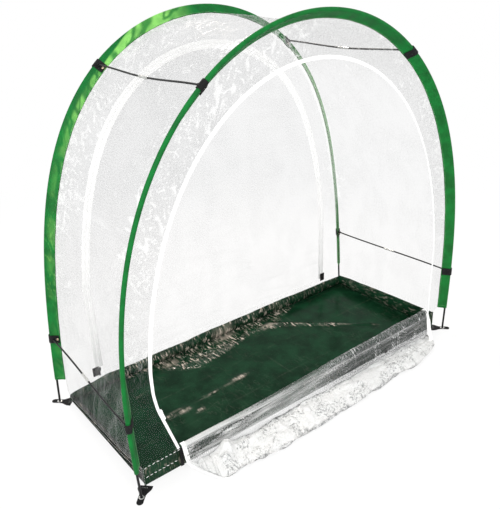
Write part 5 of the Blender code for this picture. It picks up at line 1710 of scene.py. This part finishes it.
class TENT_OT_tub(bpy.types.Operator):
    """Fold the groundsheet into its tub, with creases, seams and stitching"""
    bl_idname = "tent.tub"
    bl_label = "Tub groundsheet"

    radius = 0.010
    inset = 0.0009

    def execute(self, context):
        sizes = context.scene.tent_sizes
        half_x, half_y = TUB_X - self.inset, TUB_Y - self.inset
        wall = TUB_WALL - self.inset
        floor_x = half_x - self.radius + self.radius * math.pi / 2
        floor_y = half_y - self.radius + self.radius * math.pi / 2
        rise = wall - self.radius
        a_floor = np.linspace(-floor_x, floor_x, TUB_COLUMNS)
        b_floor = np.linspace(-floor_y, floor_y, TUB_ROWS)
        up = np.linspace(0, rise, TUB_WALL_ROWS)
        parts = [self.sheet_part("floor", a_floor, b_floor, half_x, half_y, sizes)]
        for sign in (-1, 1):
            parts.append(self.sheet_part(f"end_{sign}", sign * (floor_x + up), b_floor, half_x, half_y, sizes))
            parts.append(self.sheet_part(f"side_{sign}", a_floor, sign * (floor_y + up), half_x, half_y, sizes))
        obj = joined("tub_sheet", parts)
        cleaned(obj.data, 0.00005)
        thicken(obj, sizes.tub_sheet)
        dress(obj, "dark_green_groundsheet", replaces=("tub_groundsheet",))
        self.sew(half_x, half_y, wall)
        return {"FINISHED"}

    def sheet_part(self, name, a, b, half_x, half_y, sizes):
        """One face of the tub's cut, creased and bent into place."""
        a, b = np.meshgrid(a, b, indexing="ij")
        x, up_a = bent_up(a, half_x, self.radius)
        y, up_b = bent_up(b, half_y, self.radius)
        z = np.maximum(up_a, up_b)
        on_end, on_side = up_a > self.radius * 0.999, up_b > self.radius * 0.999
        tall = z / TUB_WALL
        crinkled, on_wall = self.crinkled(x, y), fade(tall, 0.0, 0.1)
        crinkled = crinkled * (1 - on_wall) + on_wall * np.maximum(crinkled, 0.35)
        ridge = self.folds(x, y)
        ground = ridge + sizes.tub_crease * (creases(a / 0.05, b / 0.04, 400, 2.0) * (0.03 + crinkled)
                                             + 0.5 * creases(a / 0.022, b / 0.020, 404, 2.0) * crinkled)
        ground += 0.002 * patches(a / 0.20, b / 0.14, 409)
        edge_free = fade(half_x - np.abs(x), 0.0, 0.02) * fade(half_y - np.abs(y), 0.0, 0.02)
        z = 0.0006 + z * (1 - 0.0006 / TUB_WALL) + ground * edge_free * (~on_end & ~on_side)
        along = np.where(on_side, a, b)
        wall_crease = creases(along / 0.030, z / 0.09 + 3, 420, 2.0) - 0.35
        wall_crease += 0.6 * (creases(along / 0.014, z / 0.05 + 5, 428, 2.0) - 0.4)
        free = fade(tall, 0.05, 0.35) * (1 - 0.6 * fade(tall, 0.75, 1.0))
        near_corner = np.where(on_side, half_x - np.abs(a), half_y - np.abs(b))
        push = sizes.tub_crease * (0.35 + 0.8 * crinkled) * wall_crease * free * fade(near_corner, 0.0, 0.03)
        bow = -0.005 * np.sin(math.pi * np.clip(tall, 0, 1)) * fade(near_corner, 0.0, 0.1)
        drop = hem_drop(np.where(on_end, np.sign(a) * TUB_X, x), np.where(on_side, np.sign(b) * TUB_Y, y))
        drop = drop * (1 + 0.25 * (patches(along / 0.07, along * 0, 433) - 0.5))
        z = z * (1 - np.clip(drop / TUB_WALL, 0, 0.9) * (on_end | on_side))
        slack = 0.35 * drop * np.sin(math.pi * np.clip(tall, 0, 1))
        y = y + np.where(on_side, np.sign(b) * (push + bow - slack), 0)
        x = x + np.where(on_end & ~on_side, np.sign(a) * (push + bow - slack), 0)
        x, y = np.clip(x, -half_x, half_x), np.clip(y, -half_y, half_y)
        # Painted shade on the left end wall's outer face, read by the finish as the outer mark.
        outer = 0.85 * fade(tall, 0.0, 0.15) * (a < -half_x)
        # Painted highlights: glints on the fold ridges, faint packing lines and the listed spots, kept as the
        # ridge mark.
        glint = np.clip(ridge / 0.0024, 0, 1) ** 2 * fade(patches(a / 0.05, b / 0.05, 471), 0.50, 0.75)
        packed = packed_lines(a + 0.09 + 0.01 * patches(b / 0.1, b * 0, 473), 0.26, 0.0035)
        packed += packed_lines(b + 0.02 + 0.01 * patches(a / 0.1, a * 0, 475), 0.19, 0.0035)
        packed = 0.035 * packed * fade(patches(a / 0.05, b / 0.05, 477), 0.20, 0.90)
        painted_glints = self.glints(x, y) * (1 - 0.5 * fade(tall, 0.3, 0.9))
        painted_glints = np.maximum(painted_glints, np.maximum(glint * 0.9, packed))
        marks = {"crinkled": crinkled, "ridge": painted_glints, "outer": outer}
        return cloth_sheet(f"tub_{name}", np.stack((x, y, z), axis=-1), np.stack((a, b), axis=-1), marks)

    def crinkled(self, x, y):
        """Where the sheet is crinkled: in the slack by the back wall, along a fold, and in small patches."""
        edge = np.interp(x, *np.array(SLACK_EDGE).T)
        at = 1.2 * fade(y - edge, -0.012, 0.020) * fade(x, -0.64, -0.42) * (1 - fade(x, 0.28, 0.50))
        at *= 1 - 0.45 * fade(x, 0.12, 0.26)
        share, near = beside_line(x, y, (0.20, 0.215), (0.46, -0.020))
        at += 0.75 * fade(share, -0.02, 0.05) * (1 - fade(share, 0.8, 1.0)) * (1 - fade(near, 0.008, 0.022))
        for x0, y0, half_long, half_wide, _ in GLINTS:
            at += 0.5 * np.exp(-((x - x0) / (2 * half_long)) ** 2 - ((y - y0) / (2 * half_wide)) ** 2)
        return np.clip(at * (0.6 + 0.8 * patches(x / 0.06, y / 0.05, 441)), 0, 1)

    def glints(self, x, y):
        total = np.zeros_like(x)
        for x0, y0, half_long, half_wide, strength in GLINTS:
            near = np.exp(-((x - x0) / half_long) ** 4 - ((y - y0) / half_wide) ** 4)
            total = np.maximum(total, strength * near)
        return total * fade(patches(x / 0.009, y / 0.013, 481), 0.15, 0.55)

    def folds(self, x, y):
        """Height of the packing folds that stand up from the floor."""
        total = np.zeros_like(x)
        for i, (start, end, height) in enumerate(FLOOR_FOLDS):
            share, near = beside_line(x, y, start, end)
            near = near + 0.004 * (patches(share * 9, share * 0, 450 + i) - 0.5)
            inside = fade(share, -0.05, 0.08) * (1 - fade(share, 0.92, 1.05))
            uneven = 0.4 + 0.9 * patches(share * 14, share * 0 + i, 460 + i)
            total = np.maximum(total, height * uneven * inside * np.exp(-(near / 0.006) ** 2))
        return total

    def sew(self, half_x, half_y, wall):
        """Stitches round the hem and down each corner, bound corner seams and a seam beside the doorway."""
        sizes = bpy.context.scene.tent_sizes
        rows, ups = [], []
        doorway = front_zip_path()[0, 0]
        for down in (0.007, 0.024):
            for sign in (-1, 1):
                run = np.linspace(-half_x + 0.004, half_x - 0.004, 300)
                if sign > 0:
                    self.stitch_row(rows, ups, run, np.full(300, half_y + 0.0007), wall - down, (0, 1, 0))
                run = np.linspace(-half_y + 0.004, half_y - 0.004, 120)
                side = np.full(120, sign * (half_x + 0.0007))
                self.stitch_row(rows, ups, side, run, wall - down, (sign, 0, 0))
        obj = bead_row("tub_hem_stitches", rows, ups, "grey_thread", 0.0085, 0.0055, sizes.thread * 1.7,
                       sizes.thread * 1.3, 0.25)
        dress(obj, None)
        rows, ups = [], []
        front = (0, -1, 0)
        for height, start, end in ((wall - 0.006, 0.006, -0.006), (wall * 0.45, 0.010, -0.020)):
            run = np.linspace(-half_x + start, doorway + end, 60)
            self.stitch_row(rows, ups, run, np.full(60, -half_y - 0.0009), height, front)
        obj = bead_row("tub_front_stitches", rows, ups, "white_thread", 0.0150, 0.0110, sizes.thread * 3.0,
                       sizes.thread * 1.6, 0.35)
        dress(obj, None)
        for front_back, sign_y in (("front", -1), ("back", 1)):
            for end, sign_x in zip(ENDS, (-1, 1)):
                x, y = sign_x * (half_x + 0.0002), sign_y * (half_y + 0.0002)
                top = wall + 0.0004 - float(hem_drop(np.array(x), np.array(y)))
                line = np.column_stack((np.full(20, x), np.full(20, y), np.linspace(0.006, top, 20)))
                out = np.array((sign_x * DIAGONAL, sign_y * DIAGONAL, 0.0))
                seam = swept(f"tub_seam_{front_back}_{end}", line, out, band_section(0.0065, 0.0016))
                dress(seam, "dark_green_groundsheet")
                sewn = bead_row(f"tub_seam_stitches_{front_back}_{end}", [(line + out * 0.0012)[1:-1]], [out],
                                "grey_thread", 0.006, 0.0045, sizes.thread * 1.8, sizes.thread * 1.4, 0.5)
                dress(sewn, None)
        line = np.column_stack((np.full(14, doorway + 0.003), np.full(14, -half_y - 0.0010),
                                np.linspace(0.004, wall + 0.001, 14)))
        seam = swept("tub_doorway_seam", line, front, band_section(0.012, 0.0014))
        dress(seam, "black_webbing")

    def stitch_row(self, rows, ups, x, y, height, out):
        """One row along a wall, as far below its hem everywhere."""
        drop = hem_drop(np.clip(x, -TUB_X, TUB_X), np.clip(y, -TUB_Y, TUB_Y))
        rows.append(np.column_stack((x, y, height - drop)))
        ups.append(out)


# Corner straps and eyelets

class TENT_OT_corner_straps(bpy.types.Operator):
    """Sew the corner straps and set their eyelets"""
    bl_idname = "tent.corner_straps"
    bl_label = "Corner straps"

    width = 0.022
    past_foot = 0.030

    def execute(self, context):
        thick = context.scene.tent_sizes.webbing
        for front_back, sign_y in (("front", -1), ("back", 1)):
            for end, sign_x in zip(ENDS, (-1, 1)):
                start = Vector((sign_x * TUB_X, sign_y * TUB_Y, 0))
                foot = Vector((sign_x * HALF_SPAN, sign_y * HALF_SPACING, 0))
                name = f"{front_back}_{end}"
                self.strap(name, start, foot, thick)
                self.eyelet(name, foot)
        return {"FINISHED"}

    def strap(self, name, start, foot, thick):
        """A band from the tub's corner to past the rod's foot, with a round end and a bar of stitches."""
        way = (foot - start).normalized()
        reach = (foot - start).length + self.past_foot
        half = self.width / 2
        round_end = reach - half + half * np.sin(np.linspace(0.12, math.pi / 2 - 0.05, 12))
        at = np.concatenate((np.linspace(-0.004, reach - half, 40), round_end))
        past = (at - reach + half) / half
        wide = np.where(at <= reach - half, 1.0, np.sqrt(np.clip(1 - past ** 2, 0.01, 1)))
        wide = wide + 1.15 * (1 - fade(at, 0.006, 0.036))
        height = 0.0018 + 0.0004 * np.sin(at * 160)
        section = band_section(self.width, thick, 5)
        line = np.array(start)[None] + np.array(way)[None] * at[:, None]
        line[:, 2] = height
        obj = swept(f"strap_{name}_webbing", line, (0, 0, 1), section, wide)
        across = np.array((-way.y, way.x, 0.0))
        dress(obj, "black_webbing", replaces=(f"strap_{name}",))
        rows = []
        for step in (0.004, 0.007):
            run = np.linspace(-half + 0.003, half - 0.003, 12)
            place = np.array(start)[None] + np.array(way)[None] * step + across[None] * run[:, None]
            place[:, 2] = 0.0018 + thick * 0.62
            rows.append(place)
        stitches(f"strap_{name}_stitches", rows, [(0, 0, 1)] * 2, "grey_thread",
                 bold=0.8)

    def eyelet(self, name, foot):
        """A rolled steel eyelet whose barrel takes the rod's foot."""
        bore, barrel, flange = 0.0046, 0.0058, 0.0094
        low, high = 0.0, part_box(f"grommet_{name}")[1].z
        roll = 0.0007
        profile = [(bore, low + 0.0004), (bore, high - 0.0006), (bore + 0.0004, high), (barrel, high + 0.0003),
                   (flange - 0.001, high - 0.0001), (flange, high - roll), (barrel, high - roll), (barrel, roll),
                   (flange, roll), (flange - 0.0006, low), (bore + 0.0004, low), (bore, low + 0.0004)]
        obj = moved(turned(f"eyelet_{name}", profile, 32), Matrix.Translation((foot.x, foot.y, 0)))
        dress(obj, "bright_steel", replaces=(f"grommet_{name}",))


# Finishes, stage, panel

class TENT_OT_finishes(bpy.types.Operator):
    """Build the shader groups, the materials and the geometry node trees"""
    bl_idname = "tent.finishes"
    bl_label = "Finishes"

    def execute(self, context):
        colours = context.scene.tent_colours
        crinkle_group()
        weave_group()
        wear_group()
        bead_tree()
        rod_tree()
        stud_tree()
        film_material("clear_roof_film", 0.022, 0.050, 0.34, colours)
        film_material("clear_panel_film", 0.026, 0.044, 0.34, colours)
        film_material("clear_heap_film", 0.020, 0.060, 0.62, colours, bunched=True)
        film_inside_material("clear_film_inside", 0.032, colours)
        sleeve_material(colours)
        tub_material(colours)
        webbing_material(colours)
        rod_material(colours)
        zip_tape_material(colours)
        plain_material("white_zip_coil", colours.zip, 0.45)
        plain_material("white_slider", colours.zip, 0.35)
        plain_material("dark_slider", (0.05, 0.05, 0.052), 0.4)
        plain_material("white_thread", colours.zip, 0.7)
        plain_material("pale_green_thread", colours.thread, 0.7)
        plain_material("grey_thread", (0.62, 0.66, 0.62), 0.7)
        plain_material("black_thread", (0.03, 0.03, 0.03), 0.7)
        plain_material("bright_steel", colours.steel, 0.22, metal=True)
        plain_material("dull_brass", colours.brass, 0.32, metal=True)
        return {"FINISHED"}


class TENT_OT_stage(bpy.types.Operator):
    """Set the floor, the soft lights, the white background and the camera"""
    bl_idname = "tent.stage"
    bl_label = "Stage"

    def execute(self, context):
        stage = context.scene.tent_stage
        self.floor(stage)
        self.world(context.scene, stage)
        self.lamps(context.scene, stage)
        self.camera(context.scene, stage)
        context.scene.view_settings.view_transform = "Standard"
        context.scene.cycles.transparent_max_bounces = 32
        return {"FINISHED"}

    def seen(self, nodes):
        """1 where the camera looks, straight or through metal and film, and 0 for the light on the tent."""
        path = nodes.add("ShaderNodeLightPath")
        return nodes.most(path["Is Camera Ray"], nodes.most(path["Is Glossy Ray"], path["Is Transmission Ray"]))

    def floor(self, stage):
        bpy.ops.mesh.primitive_plane_add(size=60, location=(0, 0, -0.0006))
        floor = bpy.context.object
        floor.name = "floor"
        nodes, _ = new_material("pale_floor", 0.9, Base_Color=rgba(stage.floor), Specular_IOR_Level=0.1)
        glow = nodes.add("ShaderNodeEmission", {"Color": (1, 1, 1, 1), "Strength": 1.0})[0]
        far = nodes.add("ShaderNodeVectorMath", {0: nodes.on_object()}, operation="LENGTH")["Value"]
        share = nodes.times(self.seen(nodes), nodes.spread(far, 0.9, 3.0, 0.80, 1.0))
        made = nodes.tree.nodes
        mixed = nodes.add("ShaderNodeMixShader", {0: share, 1: made["Principled BSDF"].outputs[0], 2: glow})[0]
        nodes.feed(made["Material Output"].inputs, {"Surface": mixed})
        floor.data.materials.append(finish_named("pale_floor"))

    def world(self, scene, stage):
        world = bpy.data.worlds.new("studio")
        world.use_nodes = True
        nodes = Nodes(world.node_tree)
        strength = nodes.times_plus(self.seen(nodes), 1.0 - stage.sky, stage.sky)
        nodes.feed(world.node_tree.nodes["Background"].inputs, {"Color": (1, 1, 1, 1), "Strength": strength})
        scene.world = world

    def lamps(self, scene, stage):
        for name, power, size, place, colour in (
                ("key", stage.key, 2.2, (-2.6, -2.4, 2.7), (1.0, 0.99, 0.97)),
                ("rim", stage.rim, 0.35, (0.9, 1.8, 3.0), (1.0, 0.88, 0.78))):
            lamp = bpy.data.lights.new(name, "AREA")
            lamp.energy = power
            lamp.size = size
            lamp.color = colour
            obj = bpy.data.objects.new(name, lamp)
            obj.location = place
            obj.rotation_euler = (Vector((0, 0, 0.5)) - Vector(place)).to_track_quat("-Z", "Y").to_euler()
            scene.collection.objects.link(obj)

    def camera(self, scene, stage):
        ahead = Vector((math.sin(stage.yaw) * math.cos(stage.pitch),
                        math.cos(stage.yaw) * math.cos(stage.pitch), math.sin(stage.pitch)))
        right = Vector((math.cos(stage.yaw), -math.sin(stage.yaw), 0))
        up = right.cross(ahead)
        c, s = math.cos(stage.roll), math.sin(stage.roll)
        turn = Matrix((right * c + up * s, up * c - right * s, -ahead)).transposed().to_4x4()
        data = bpy.data.cameras.new("photo_view")
        data.lens = stage.lens
        data.sensor_width = 36.0
        data.clip_end = 80.0
        obj = bpy.data.objects.new("photo_view", data)
        scene.collection.objects.link(obj)
        obj.matrix_world = Matrix.Translation(Vector(stage.camera)) @ turn
        scene.camera = obj


STEPS = ("finishes", "rods", "sleeves", "clips", "zips", "zip_fittings", "roof_film", "end_panels", "back_door",
         "tub", "front_door", "corner_straps", "stage")


class TENT_PT_sidebar(bpy.types.Panel):
    """The tent's steps and sizes"""
    bl_idname = "TENT_PT_sidebar"
    bl_label = "Frost tent"
    bl_space_type = "VIEW_3D"
    bl_region_type = "UI"
    bl_category = "Frost tent"

    def draw(self, context):
        for step in STEPS:
            self.layout.operator(f"tent.{step}")
        for group in (context.scene.tent_sizes, context.scene.tent_colours, context.scene.tent_stage):
            box = self.layout.box()
            for name in group.bl_rna.properties.keys():
                if name not in ("rna_type", "name"):
                    box.prop(group, name)


CLASSES = (TentSizes, TentColours, TentStage, TENT_OT_finishes, TENT_OT_rods, TENT_OT_sleeves, TENT_OT_clips,
           TENT_OT_zips, TENT_OT_zip_fittings, TENT_OT_roof_film, TENT_OT_end_panels, TENT_OT_back_door,
           TENT_OT_tub, TENT_OT_front_door, TENT_OT_corner_straps, TENT_OT_stage, TENT_PT_sidebar)


def register():
    for cls in CLASSES:
        bpy.utils.register_class(cls)
    bpy.types.Scene.tent_sizes = PointerProperty(type=TentSizes)
    bpy.types.Scene.tent_colours = PointerProperty(type=TentColours)
    bpy.types.Scene.tent_stage = PointerProperty(type=TentStage)


def unregister():
    del bpy.types.Scene.tent_stage
    del bpy.types.Scene.tent_colours
    del bpy.types.Scene.tent_sizes
    for cls in reversed(CLASSES):
        bpy.utils.unregister_class(cls)


def main():
    register()
    for step in STEPS:
        getattr(bpy.ops.tent, step)()


if __name__ == "__main__":
    main()
